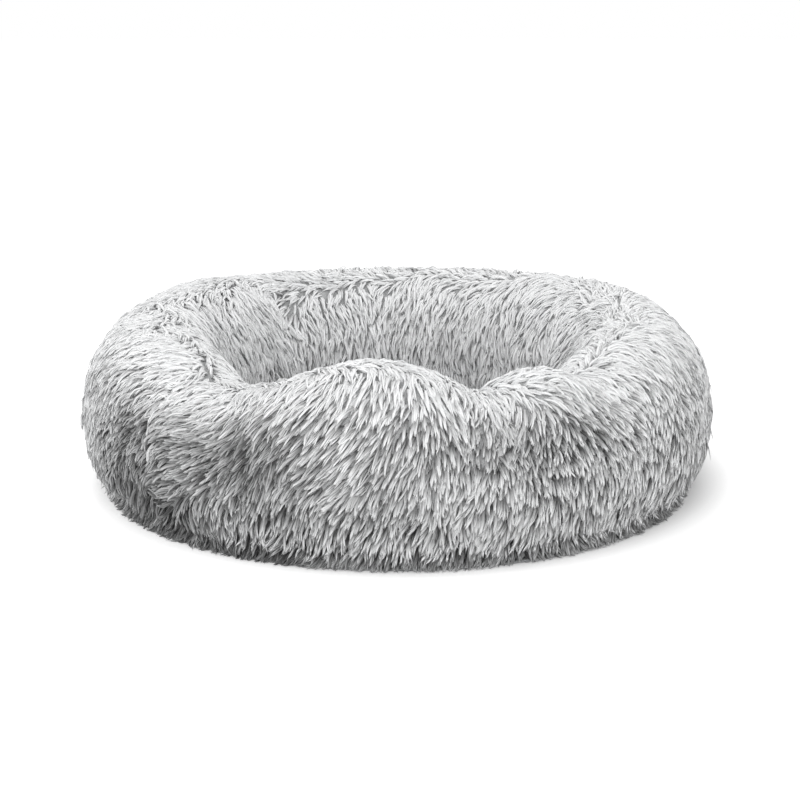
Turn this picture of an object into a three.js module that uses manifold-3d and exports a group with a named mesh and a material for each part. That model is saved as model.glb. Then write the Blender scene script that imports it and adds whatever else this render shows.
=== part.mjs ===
// Donut pet bed: a bolster ring of long-pile fur round a sunk sleeping well, on a woven base.
// Millimetres, +Z up. The origin is on the floor under the bed's centre and the front faces -Y.
// An angle round the bed is in degrees, starts at the front and grows towards +X.

import * as THREE from "three";
import { mergeVertices } from "three/addons/utils/BufferGeometryUtils.js";
import Module from "manifold-3d";

const wasm = await Module();
wasm.setup();

// Overall sizes
const outerRadius = 500; // over the lying fur, at the widest height
const rimHeight = 275; // crest of the fur where nothing has pressed it down
const wellRadius = 260; // inside the fur, half way up the well's wall
const widestHeight = 120; // where the ring is widest
const baseInset = 44; // from the widest line in to the edge of the base cloth

// Cloth and clearances
const furThickness = 15; // knitted backing with the pile lying on it
const linerThickness = 1;
const baseThickness = 2;
const seamGap = 0.3; // between two pieces that touch
const runGap = 0.6; // round a piece that slides

// Section of the inner pillow ring
const crownPower = 2.15; // 2 is an ellipse, more is squarer
const innerCornerRadius = 26;
const outerCornerRadius = 8;
const bandTop = 37; // top of the upright band that holds the zip
const bandInset = 6.4; // from the base's edge in to the pillow's wall
const tuckDepth = 68; // how far below the widest height the wall starts to turn in

// Centre cushion
const cushionEdge = 73; // top of the cushion where its side begins
const cushionCrown = 17; // rise from there to the middle
const cushionSide = 34; // width of the rounded side
const sidePower = 2.6;

// Binding of the base seam
const bindingThickness = 1.4;
const bindingLip = 6.8; // how far it laps over the base cloth
const bindingLift = 0.5; // clear of the floor

// Zip in the back of the base seam
const zipHalfSpan = 80; // degrees either side of the middle of the back
const tapeThickness = 1;
const coilHeight = 3.2;
const coilThickness = 2.2;
const neckThickness = 1;
const neckGap = 0.45; // between the slider's neck and each coil
const stopThickness = 2.4;
const topStopHeight = 4;
const stopLength = 4.8;
const sliderRoom = 3; // between a stop and the slider at rest, and from the tape's end to a stop
const sliderLength = 12;
const sliderWidth = 10.4;
const sliderPlate = 1.4;
const flangeThickness = 0.7;
const neckLength = 3;
const bailSpan = 8.1;
const bailWidth = 1.8;
const bailBar = 0.9;
const bailRise = 2.4; // clear height under the bail
const pullLength = 24;
const pullHeadWidth = 6;
const pullTipWidth = 7.4;
const pullThickness = 1;
const pullBar = 1.2;
const windowWidth = 2.8;
const windowLength = 5.8;

// How finely the round pieces are cut
const ringSteps = 48;
const cushionSteps = 24;
const tapeSteps = 64;
const patchSteps = 3;
const crownSteps = 10;
const tuckSteps = 3;
const innerCornerTurns = [180, 225, 270];
const outerCornerTurns = [270, 315, 360];
const sideSteps = 3;
const cushionTopSteps = 4;
const tipSegments = 6;

// Where the rim has been pressed down or stands up: angle, spread in degrees, share of the rim height
const rimSinkShares = [
  [-39, 17, 0.15],
  [-6, 12, -0.06],
  [19, 9, 0.12],
  [44, 9, 0.1],
  [72, 12, -0.01],
  [115, 6, 0.07],
  [150, 16, -0.01],
  [-137, 6, 0.07],
  [-105, 9, 0.03],
];

// Where the well's wall leans in or is creased: angle, spread in degrees, share of the ring's width
const wallLeanShares = [
  [-70, 18, 0.05],
  [0, 22, 0.05],
  [98, 7, -0.06],
  [152, 22, 0.08],
  [-137, 6, -0.07],
  [-165, 12, 0.03],
];

// Sizes worked out from those above
const degree = Math.PI / 180;
const pillowOut = outerRadius - furThickness;
const pillowIn = wellRadius + furThickness;
const pillowMid = (pillowOut + pillowIn) / 2;
const pillowHalf = (pillowOut - pillowIn) / 2;
const pillowTop = rimHeight - furThickness;
const baseRadius = outerRadius - baseInset;
const wallRadius = baseRadius - bandInset;
const bindingTop = baseThickness + seamGap + bindingThickness;
const hemHeight = bindingTop + seamGap;
const wellSeam = cushionEdge + furThickness + 2 * seamGap;
const tapeIn = wallRadius + 2 * runGap + sliderPlate;
const tapeOut = tapeIn + tapeThickness;
const zipHeight = (hemHeight + bandTop) / 2;
const chainSplit = neckThickness / 2 + neckGap;
const cushionRim = pillowIn - seamGap;
const floorEnd = crownSteps + innerCornerTurns.length + 1; // place of that point in the ring's outline

// Degrees that a length takes up along the zip
const along = (length) => length / tapeOut / degree;
const zipStart = 180 - zipHalfSpan;
const zipEnd = 180 + zipHalfSpan;
const coilStart = zipStart + along(sliderRoom + stopLength);
const coilEnd = zipEnd - along(sliderRoom + stopLength);
const sliderRest = coilStart + along(sliderRoom + sliderLength / 2);

const material = (color, roughness, metalness = 0) =>
  new THREE.MeshStandardMaterial({ color, roughness, metalness });
const fur = material(0xd2d2d4, 0.95);
const liner = material(0xe9e8e4, 0.9);
const fill = material(0xf6f5f2, 1);
const baseCloth = material(0x85878b, 0.85);
const binding = material(0xa2a3a6, 0.85);
const tape = material(0xb3b4b7, 0.85);
const nylon = material(0xa9aaad, 0.5);
const nickel = material(0xb9babd, 0.3, 1);

const bed = new THREE.Group();

function add(name, geometry, finish, parent = bed) {
  const mesh = new THREE.Mesh(geometry, finish);
  mesh.name = name;
  parent.add(mesh);
  return mesh;
}

// Outlines in the plane of one spoke are lists of [distance from the centre line, height]

const power = (value, exponent) => Math.sign(value) * Math.abs(value) ** (2 / exponent);

// The inside of the fur cover, from the widest point over the crest, down the well's wall and
// back under the ring
function ringOutline() {
  const line = [];
  for (let step = 0; step <= crownSteps; step += 1) {
    const turn = (Math.PI * step) / crownSteps;
    const out = power(Math.cos(turn), crownPower);
    const up = power(Math.sin(turn), crownPower);
    line.push([pillowMid + pillowHalf * out, widestHeight + (pillowTop - widestHeight) * up]);
  }
  for (const turn of innerCornerTurns) {
    line.push([
      pillowIn + innerCornerRadius + innerCornerRadius * Math.cos(turn * degree),
      baseThickness + innerCornerRadius + innerCornerRadius * Math.sin(turn * degree),
    ]);
  }
  for (const turn of outerCornerTurns) {
    line.push([
      wallRadius - outerCornerRadius + outerCornerRadius * Math.cos(turn * degree),
      baseThickness + outerCornerRadius + outerCornerRadius * Math.sin(turn * degree),
    ]);
  }
  const tuck = new THREE.QuadraticBezierCurve(
    new THREE.Vector2(wallRadius, bandTop),
    new THREE.Vector2(pillowOut, widestHeight - tuckDepth),
    new THREE.Vector2(pillowOut, widestHeight),
  );
  for (let step = 0; step < tuckSteps; step += 1) {
    const point = tuck.getPoint(step / tuckSteps);
    line.push([point.x, point.y]);
  }
  return line;
}

// A closed outline moved out by a distance, or in where it is negative
function offset(line, distance) {
  return line.map(([r, z], index) => {
    const [r0, z0] = line[(index + line.length - 1) % line.length];
    const [r1, z1] = line[(index + 1) % line.length];
    const before = new THREE.Vector2(z - z0, r0 - r).normalize();
    const after = new THREE.Vector2(z1 - z, r - r1).normalize();
    const reach = distance / (1 + before.dot(after));
    return [r + (before.x + after.x) * reach, z + (before.y + after.y) * reach];
  });
}

// The stretch of a ring outline from a height on its outer wall, over the crest, to a height on
// the well's wall
function overTheTop(line, outerHeight, innerHeight) {
  const cut = ([r0, z0], [r1, z1], height) => [r0 + ((r1 - r0) * (height - z0)) / (z1 - z0), height];
  const inner = line.slice(0, crownSteps + 2);
  const outer = line.slice(floorEnd);
  const run = [];
  outer.forEach((point, index) => {
    if (point[1] <= outerHeight) return;
    if (run.length === 0 && index > 0) run.push(cut(outer[index - 1], point, outerHeight));
    run.push(point);
  });
  inner.forEach((point, index) => {
    if (index <= crownSteps || point[1] > innerHeight) run.push(point);
    else run.push(cut(inner[index - 1], point, innerHeight));
  });
  return run;
}

const bell = (angle, [centre, spread, share]) => {
  const away = ((((angle - centre) % 360) + 540) % 360) - 180;
  return share * Math.exp(-((away / spread) ** 2));
};
const total = (angle, places) => places.reduce((sum, place) => sum + bell(angle, place), 0);

// Moves a point of the ring to where use has left it: only what is above the widest height moves
function settle(r, z, angle) {
  const share = THREE.MathUtils.smoothstep(z, widestHeight, pillowTop);
  const inwards = THREE.MathUtils.clamp((pillowMid - r) / pillowHalf, 0, 1);
  const lean = total(angle, wallLeanShares) * (outerRadius - wellRadius);
  const sink = total(angle, rimSinkShares) * rimHeight;
  return [r - lean * inwards * share, z - sink * share];
}

const still = (r, z) => [r, z];
const degreesAlong = (start, end, steps) =>
  Array.from({ length: steps + 1 }, (_, index) => start + ((end - start) * index) / steps);

// Carries a closed outline round the bed through the given angles, all the way round or with its
// two ends closed. A bent patch is always split from its higher corner, so that layers that lie
// on each other bend alike.
function sweep(outline, angles, move = still, wholeTurn = false) {
  const count = outline.length;
  const positions = [];
  const faces = [];
  for (const angle of angles) {
    for (const point of outline) {
      const [r, z] = move(point[0], point[1], angle);
      positions.push(r * Math.sin(angle * degree), -r * Math.cos(angle * degree), z);
    }
  }
  const spans = wholeTurn ? angles.length : angles.length - 1;
  for (let span = 0; span < spans; span += 1) {
    const here = span * count;
    const there = ((span + 1) % angles.length) * count;
    for (let index = 0; index < count; index += 1) {
      const next = (index + 1) % count;
      const [a, b, c, d] = [here + index, here + next, there + next, there + index];
      if (outline[index][1] > outline[next][1]) faces.push(a, d, c, a, c, b);
      else faces.push(a, d, b, d, c, b);
    }
  }
  if (!wholeTurn) {
    const flat = outline.map(([r, z]) => new THREE.Vector2(r, z));
    const last = (angles.length - 1) * count;
    for (const [a, b, c] of THREE.ShapeUtils.triangulateShape(flat, [])) {
      faces.push(a, b, c, last + a, last + c, last + b);
    }
  }
  const geometry = new THREE.BufferGeometry();
  geometry.setAttribute("position", new THREE.Float32BufferAttribute(positions, 3));
  geometry.setIndex(faces);
  return facingOut(geometry);
}

// Turns a closed shape's faces round if they point in
function facingOut(geometry) {
  const place = geometry.getAttribute("position");
  const faces = geometry.getIndex().array;
  const corner = [new THREE.Vector3(), new THREE.Vector3(), new THREE.Vector3()];
  let volume = 0;
  for (let face = 0; face < faces.length; face += 3) {
    corner.forEach((point, index) => point.fromBufferAttribute(place, faces[face + index]));
    volume += corner[0].dot(corner[1].cross(corner[2]));
  }
  if (volume < 0) faces.reverse();
  return geometry;
}

const wholeTurn = degreesAlong(0, 360, ringSteps).slice(0, ringSteps);
const rectangle = (r0, z0, r1, z1) => [
  [r0, z0],
  [r1, z0],
  [r1, z1],
  [r0, z1],
];

// A profile from the axis out and back to the axis, turned round it
function turned(profile, steps) {
  const points = profile.map(([r, z]) => new THREE.Vector2(r, z));
  return new THREE.LatheGeometry(points, steps).rotateX(Math.PI / 2);
}

// Manifold solids, for the zip's slider only
function solid(geometry) {
  const bare = geometry.clone();
  bare.deleteAttribute("normal");
  bare.deleteAttribute("uv");
  const merged = mergeVertices(bare);
  return new wasm.Manifold(
    new wasm.Mesh({
      numProp: 3,
      vertProperties: new Float32Array(merged.getAttribute("position").array),
      triVerts: new Uint32Array(merged.getIndex().array),
    }),
  );
}

function shell(body) {
  const mesh = body.getMesh();
  const geometry = new THREE.BufferGeometry();
  geometry.setAttribute("position", new THREE.Float32BufferAttribute(mesh.vertProperties, 3));
  geometry.setIndex(Array.from(mesh.triVerts));
  return geometry;
}

const block = (low, high) =>
  solid(
    new THREE.BoxGeometry(high[0] - low[0], high[1] - low[1], high[2] - low[2]).translate(
      (low[0] + high[0]) / 2,
      (low[1] + high[1]) / 2,
      (low[2] + high[2]) / 2,
    ),
  );

const ringLine = ringOutline();

// Fur cover: two strips joined at the bed's left and right sides, open underneath
function addFurCover() {
  const seam = Math.asin(seamGap / 2 / wellRadius) / degree;
  const halves = [
    ["ring_fur_front", -90, hemHeight],
    ["ring_fur_back", 90, bandTop],
  ];
  for (const [name, start, hem] of halves) {
    const outside = overTheTop(offset(ringLine, furThickness), hem, wellSeam);
    const inside = overTheTop(ringLine, hem, wellSeam);
    const angles = degreesAlong(start, start + 180, ringSteps / 2);
    angles[0] += seam;
    angles[angles.length - 1] -= seam;
    add(name, sweep([...outside, ...inside.reverse()], angles, settle), fur);
  }
}

// Inner pillow ring: two rings of plain cloth joined at the widest and narrowest lines, and fill
function addPillowRing() {
  const outside = offset(ringLine, -seamGap);
  const inside = offset(ringLine, -seamGap - linerThickness);
  const lift = ([r, z]) => [r, Math.max(z, widestHeight + seamGap)];
  const topOutside = outside.slice(0, crownSteps + 1).map(lift);
  const topInside = inside.slice(0, crownSteps + 1).map(lift);
  const upper = [...topOutside, ...topInside.reverse()];
  const lowerOutside = [...outside.slice(crownSteps), outside[0]];
  const lowerInside = [...inside.slice(crownSteps), inside[0]];
  const lower = [...lowerOutside, ...lowerInside.reverse()];
  add("ring_liner_top", sweep(upper, wholeTurn, settle, true), liner);
  add("ring_liner_bottom", sweep(lower, wholeTurn, settle, true), liner);
  const filled = offset(ringLine, -2 * seamGap - linerThickness);
  add("ring_fill", sweep(filled, wholeTurn, settle, true), fill);
}

// Outline of the centre cushion from the axis at the bottom to the axis at the top, each line
// inside the one before by the depth
function cushionOutline(depth) {
  const side = cushionRim - cushionSide - depth;
  const low = baseThickness + seamGap + depth;
  const high = cushionEdge - depth;
  const below = [[0, low]];
  const above = [];
  for (let step = 0; step <= sideSteps; step += 1) {
    const turn = (Math.PI / 2) * (step / sideSteps);
    const out = side + cushionSide * power(Math.cos(turn), sidePower);
    const rise = ((high - low) / 2) * power(Math.sin(turn), sidePower);
    below.splice(1, 0, [out, (low + high) / 2 - rise]);
    above.push([out, (low + high) / 2 + rise]);
  }
  for (let step = 1; step <= cushionTopSteps; step += 1) {
    const out = side * (1 - step / cushionTopSteps);
    above.push([out, high + crownAt(out / side)]);
  }
  return { below, above };
}

const crownAt = (share) => cushionCrown * (1 - share ** 2);

function addCentreCushion() {
  const outside = cushionOutline(0);
  const inside = cushionOutline(linerThickness);
  const filled = cushionOutline(linerThickness + seamGap);
  outside.above[0][1] += seamGap;
  inside.above[0][1] += seamGap;
  const dome = [...inside.above.reverse(), ...outside.above];
  add("centre_liner_top", turned(dome, cushionSteps), liner);
  const bowl = [...outside.below, ...inside.below.reverse()];
  add("centre_liner_bottom", turned(bowl, cushionSteps), liner);
  const body = [...filled.below, ...filled.above];
  add("centre_fill", turned(body, cushionSteps), fill);

  const side = cushionRim - cushionSide;
  const under = [];
  for (let step = 0; step <= cushionTopSteps; step += 1) {
    const out = (side * step) / cushionTopSteps;
    under.push([out, cushionEdge + seamGap + crownAt(out / side)]);
  }
  under.push([cushionRim, cushionEdge + seamGap]);
  const over = under.map(([r, z]) => [r, z + furThickness]).reverse();
  add("centre_fur_panel", turned([...under, ...over], ringSteps), fur);
}

// Base cloth and the tape that binds its edge to the fur and the zip
function addBase() {
  const disc = [
    [0, 0],
    [baseRadius, 0],
    [baseRadius, baseThickness],
    [0, baseThickness],
  ];
  add("base_cloth", turned(disc, ringSteps), baseCloth);
  const edge = baseRadius + seamGap;
  const outline = [
    [edge, bindingLift],
    [edge + bindingThickness, bindingLift],
    [edge + bindingThickness, bindingTop],
    [edge - bindingLip, bindingTop],
    [edge - bindingLip, bindingTop - bindingThickness],
    [edge, bindingTop - bindingThickness],
  ];
  add("base_binding", sweep(outline, wholeTurn, still, true), binding);
}

// Zip tapes, coils, stops and end patches, all upright round the back of the base seam
function addZipTrack() {
  const patchEnd = 90 + along(seamGap / 2);
  const tapeAngles = degreesAlong(zipStart, zipEnd, tapeSteps);
  const coilAngles = degreesAlong(coilStart, coilEnd, tapeSteps);
  const tapeTop = bandTop - seamGap;
  const upper = zipHeight + chainSplit;
  const lower = zipHeight - chainSplit;
  const coilIn = tapeOut + seamGap;
  const coilOut = coilIn + coilThickness;

  add("zip_tape_upper", sweep(rectangle(tapeIn, upper, tapeOut, tapeTop), tapeAngles), tape);
  add("zip_tape_lower", sweep(rectangle(tapeIn, hemHeight, tapeOut, lower), tapeAngles), tape);
  const upperCoil = rectangle(coilIn, upper, coilOut, upper + coilHeight);
  const lowerCoil = rectangle(coilIn, lower - coilHeight, coilOut, lower);
  add("zip_coil_upper", sweep(upperCoil, coilAngles), nylon);
  add("zip_coil_lower", sweep(lowerCoil, coilAngles), nylon);

  const stopOut = coilIn + stopThickness;
  const topStop = [coilStart - along(seamGap + stopLength), coilStart - along(seamGap)];
  const bottomStop = [coilEnd + along(seamGap), coilEnd + along(seamGap + stopLength)];
  const stopUpper = rectangle(coilIn, upper, stopOut, upper + topStopHeight);
  const stopLower = rectangle(coilIn, lower - topStopHeight, stopOut, lower);
  const stopBoth = rectangle(coilIn, lower - coilHeight, stopOut, upper + coilHeight);
  add("zip_top_stop_upper", sweep(stopUpper, topStop), nickel);
  add("zip_top_stop_lower", sweep(stopLower, topStop), nickel);
  add("zip_bottom_stop", sweep(stopBoth, bottomStop), nickel);

  const patch = rectangle(tapeIn, hemHeight, tapeOut, tapeTop);
  const gap = along(seamGap);
  add("zip_end_patch_right", sweep(patch, degreesAlong(patchEnd, zipStart - gap, patchSteps)), tape);
  add("zip_end_patch_left", sweep(patch, degreesAlong(zipEnd + gap, 360 - patchEnd, patchSteps)), tape);
}

// Slider and pull, drawn with X away from the bed, Y along the zip and Z up
function addSlider() {
  const place = new THREE.Group();
  place.position.set(
    tapeOut * Math.sin(sliderRest * degree),
    -tapeOut * Math.cos(sliderRest * degree),
    zipHeight,
  );
  place.rotation.z = (sliderRest - 90) * degree;
  bed.add(place);

  const half = sliderLength / 2;
  const wide = sliderWidth / 2;
  const front = seamGap + coilThickness + runGap;
  const face = front + sliderPlate;
  const back = -tapeThickness - runGap;
  const neck = neckThickness / 2;
  const flange = wide - flangeThickness;
  const bail = bailSpan / 2;
  const bailTop = face + bailRise;
  const bailHalf = bailWidth / 2;
  const root = face - sliderPlate / 2; // the flanges and the bail start inside the front plate
  const body = [
    block([back - sliderPlate, -half, -wide], [back, half, wide]),
    block([back - sliderPlate / 2, -half, -neck], [root, neckLength - half, neck]),
    block([seamGap, -half, flange], [root, half, wide]),
    block([seamGap, -half, -wide], [root, half, -flange]),
    block([root, -bail, -bailHalf], [bailTop + bailBar, bailBar - bail, bailHalf]),
    block([root, bail - bailBar, -bailHalf], [bailTop + bailBar, bail, bailHalf]),
    block([bailTop, -bail, -bailHalf], [bailTop + bailBar, bail, bailHalf]),
  ].reduce((sum, piece) => sum.add(piece), block([front, -half, -wide], [face, half, wide]));
  add("zip_slider", shell(body), nickel, place);

  const tab = new THREE.Shape();
  const headHalf = pullHeadWidth / 2;
  const tipHalf = pullTipWidth / 2;
  const tipStart = pullLength - tipHalf;
  tab.moveTo(-pullBar / 2, -headHalf);
  tab.lineTo(tipStart, -tipHalf);
  tab.absarc(tipStart, 0, tipHalf, -Math.PI / 2, Math.PI / 2, false);
  tab.lineTo(-pullBar / 2, headHalf);
  tab.closePath();
  const opening = new THREE.Path();
  opening.moveTo(pullBar / 2, -windowWidth / 2);
  opening.lineTo(pullBar / 2, windowWidth / 2);
  opening.lineTo(pullBar / 2 + windowLength, windowWidth / 2);
  opening.lineTo(pullBar / 2 + windowLength, -windowWidth / 2);
  opening.closePath();
  tab.holes.push(opening);
  const tabSettings = { depth: pullThickness, bevelEnabled: false, curveSegments: tipSegments };
  const pull = new THREE.ExtrudeGeometry(tab, tabSettings);
  const upright = new THREE.Matrix4().makeBasis(
    new THREE.Vector3(0, 1, 0),
    new THREE.Vector3(0, 0, 1),
    new THREE.Vector3(1, 0, 0),
  );
  pull.applyMatrix4(upright).translate(face + bailRise / 2 - pullThickness / 2, 0, 0);
  add("zip_pull", pull, nickel, place);
}

addFurCover();
addPillowRing();
addCentreCushion();
addBase();
addZipTrack();
addSlider();

export default bed;
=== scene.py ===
"""Donut pet bed: a bolster ring of long-pile fur round a sunk sleeping well, on a woven base.

Lengths are in metres and +Z is up. The front of the bed faces -Y. An angle round the bed starts
at the front and grows towards +X. A section is a line of [distance from the centre line, height]
points, and a skin has rows along a section and columns round the bed.
"""

import logging
import math
from dataclasses import dataclass, field
from enum import Enum

import bmesh
import bpy
import numpy as np
from mathutils import Matrix, Vector, kdtree


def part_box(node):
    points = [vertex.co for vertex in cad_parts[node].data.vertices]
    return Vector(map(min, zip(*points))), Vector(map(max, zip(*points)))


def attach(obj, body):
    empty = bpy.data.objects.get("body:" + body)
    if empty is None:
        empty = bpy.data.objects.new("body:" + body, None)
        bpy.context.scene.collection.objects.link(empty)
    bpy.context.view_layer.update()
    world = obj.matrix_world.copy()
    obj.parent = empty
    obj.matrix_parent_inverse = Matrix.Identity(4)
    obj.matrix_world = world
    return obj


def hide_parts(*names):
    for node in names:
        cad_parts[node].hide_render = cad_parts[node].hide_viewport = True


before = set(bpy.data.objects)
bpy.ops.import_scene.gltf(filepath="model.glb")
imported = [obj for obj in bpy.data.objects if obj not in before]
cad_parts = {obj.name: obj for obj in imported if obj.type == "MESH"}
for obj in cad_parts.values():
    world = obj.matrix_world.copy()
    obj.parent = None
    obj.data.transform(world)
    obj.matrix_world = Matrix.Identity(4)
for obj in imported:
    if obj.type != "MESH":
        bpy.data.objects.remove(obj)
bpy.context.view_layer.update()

BED = "bed"
PILE_MAP = "OFBake"
log = logging.getLogger("pet_bed")

Array = np.ndarray
Colour = tuple[float, float, float]
Material = bpy.types.Material
Object = bpy.types.Object
Shape = bmesh.types.BMesh
Socket = bpy.types.NodeSocket
Inputs = dict[int | str, object]


# Finishes


class Nodes:
    """The nodes of a material or a world, with short calls for those that are used often."""

    def __init__(self, owner: bpy.types.ID, end: str = "BSDF_PRINCIPLED") -> None:
        """Opens the nodes.

        Args:
            owner: the material or the world.
            end: the type of the node that takes the result.
        """
        owner.use_nodes = True
        self.owner, self.tree = owner, owner.node_tree
        self.end = next(n for n in self.tree.nodes if n.type == end)

    def feed(self, node: bpy.types.Node, inputs: Inputs) -> None:
        """Sets a node's inputs.

        Args:
            node: the node.
            inputs: plain values or other nodes' outputs, by the names or numbers of the inputs.
        """
        for key, value in inputs.items():
            if isinstance(value, Socket):
                self.tree.links.new(value, node.inputs[key])
            else:
                node.inputs[key].default_value = value

    def add(self, kind: str, inputs: Inputs, **settings: str) -> bpy.types.Node:
        """Adds a node.

        Args:
            kind: its type, without the ShaderNode prefix.
            inputs: what its inputs get.
            settings: its properties.

        Returns:
            The node.
        """
        made = self.tree.nodes.new("ShaderNode" + kind)
        for name, value in settings.items():
            setattr(made, name, value)
        self.feed(made, inputs)
        return made

    def result(self, kind: str, inputs: Inputs, **settings: str) -> Socket:
        """Adds a node and returns its first output."""
        return self.add(kind, inputs, **settings).outputs[0]

    def maths(self, operation: str, *values: float | Socket) -> Socket:
        """Returns the result of a sum with one or two numbers or outputs."""
        return self.result("Math", dict(enumerate(values)), operation=operation)

    def place(self) -> Socket:
        """Returns the point's own place in metres."""
        return self.add("TexCoord", {}).outputs["Object"]

    def split(self, vector: Socket) -> list[Socket]:
        """Returns a vector's three parts."""
        return list(self.add("SeparateXYZ", {0: vector}).outputs)

    def noise(self, where: Socket, scale: float, detail: float) -> Socket:
        """Returns smooth noise from 0 to 1, with so many lumps to a unit and finer layers."""
        return self.result("TexNoise", {"Vector": where, "Scale": scale, "Detail": detail})

    def ramp(self, value: Socket, stops: list[tuple[float, Colour]]) -> Socket:
        """Turns a number into a colour.

        Args:
            value: the number, from 0 to 1.
            stops: places along it and their colours.

        Returns:
            The colour.
        """
        made = self.add("ValToRGB", {0: value})
        points = made.color_ramp.elements
        while len(points) < len(stops):
            points.new(1.0)
        for point, (place, colour) in zip(points, stops):
            point.position = place
            point.color = (*colour, 1.0)
        return made.outputs[0]

    def tinted(self, colour: Socket, by: Socket) -> Socket:
        """Multiplies a colour by a number."""
        return self.result("MixRGB", {0: 1.0, 1: colour, 2: by}, blend_type="MULTIPLY")

    def spread(self, value: Socket, low: float, high: float) -> Socket:
        """Stretches a number that runs from 0 to 1 so that it runs from low to high."""
        return self.result("MapRange", {"Value": value, "To Min": low, "To Max": high})

    def rays(self, *kinds: str) -> Socket:
        """Tells rays of some kinds from the others.

        Args:
            kinds: the kinds, by their names on the Light Path node.

        Returns:
            1 for these rays, and 0 for the others.
        """
        path = self.add("LightPath", {}).outputs
        found = path[kinds[0]]
        for kind in kinds[1:]:
            found = self.maths("MAXIMUM", found, path[kind])
        return found

    def dress(
        self, colour: Socket, roughness: Socket, relief: Socket, depth: float,
        numbers: dict[str, float], strength: float = 1.0,
    ) -> Material:
        """Feeds the surface's shader.

        Args:
            colour: its colour.
            roughness: its roughness.
            relief: its height, from 0 to 1.
            depth: what a height of 1 is, in metres.
            numbers: its plain numbers, by name.
            strength: how much of the relief shows.

        Returns:
            The material.
        """
        heights = {"Height": relief, "Distance": depth, "Strength": strength}
        normal = self.result("Bump", heights)
        linked = {"Base Color": colour, "Roughness": roughness, "Normal": normal}
        self.feed(self.end, linked | numbers)
        return self.owner


def grey(lightness: float, cold: float = 0.0) -> Colour:
    """Returns a grey of so much light, with a share less red where it is cold."""
    return (lightness * (1 - cold), lightness * (1 - cold / 2), lightness)


def times(colour: Colour, share: float) -> Colour:
    """Returns a colour times a share, and no paler than white."""
    return tuple(min(1.0, part * share) for part in colour)


class Lay(Enum):
    """How threads run on a piece."""

    FLAT = "across the floor"
    ROUND = "round the bed"


@dataclass(frozen=True)
class PileFinish:
    """Polyester pile with dark roots and pale tips.

    Its pattern follows each strand's map: the shade runs across the map, and root to tip up it.
    The pale ramp's roots are painted paler than its tips: painted light in the gaps between strands.
    """

    places: tuple[float, ...] = (0.29, 0.49, 0.71, 1.0)
    dark: tuple[Colour, ...] = (
        grey(0.012, 0.02), grey(0.28, 0.015), grey(0.88, 0.01), grey(0.95, 0.01),
    )
    # Painted light: the pale ramp runs paler at the root than at the tip, which lifts the shade in the
    # gaps between strands.
    pale: tuple[Colour, ...] = (
        grey(0.95, 0.01), grey(0.92, 0.01), grey(0.89, 0.01), grey(0.85, 0.01),
    )
    fibres: float = 90.0
    stretch: float = 0.02
    tones: tuple[float, float] = (0.86, 1.01)
    roughness: tuple[float, float] = (0.74, 0.5)
    depth: float = 0.0004
    strength: float = 0.6

    def material(self) -> Material:
        """Makes the material.

        Returns:
            The material.
        """
        nodes = Nodes(bpy.data.materials.new("pile"))
        across, along, _ = nodes.split(nodes.result("UVMap", {}, uv_map=PILE_MAP))
        dark, pale = (nodes.ramp(along, list(zip(self.places, c))) for c in (self.dark, self.pale))
        colour = nodes.result("MixRGB", {0: across, 1: dark, 2: pale}, blend_type="MIX")
        drawn = nodes.maths("MULTIPLY", along, self.stretch)
        fibres = nodes.noise(nodes.result("CombineXYZ", {0: across, 1: drawn}), self.fibres, 1.0)
        colour = nodes.tinted(colour, nodes.spread(fibres, *self.tones))
        rough = nodes.spread(fibres, *self.roughness)
        numbers = {"Specular IOR Level": 0.25, "Sheen Weight": 0.1, "Sheen Roughness": 0.5}
        return nodes.dress(colour, rough, fibres, self.depth, numbers, self.strength)


@dataclass(frozen=True)
class BackingFinish:
    """The knitted backing that the pile grows from, with short down on it."""

    dark: Colour = grey(0.24, 0.02)
    pale: Colour = grey(0.58, 0.02)
    down: float = 900.0
    patches: float = 30.0
    depth: float = 0.0008

    def material(self) -> Material:
        """Makes the material.

        Returns:
            The material.
        """
        nodes = Nodes(bpy.data.materials.new("knitted_backing"))
        where = nodes.place()
        down = nodes.noise(where, self.down, 3.0)
        patches = nodes.spread(nodes.noise(where, self.patches, 2.0), 0.8, 1.15)
        colour = nodes.tinted(nodes.ramp(down, [(0.3, self.dark), (0.7, self.pale)]), patches)
        numbers = {"Specular IOR Level": 0.1, "Sheen Weight": 0.2}
        return nodes.dress(colour, nodes.spread(down, 0.98, 0.85), down, self.depth, numbers)


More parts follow.
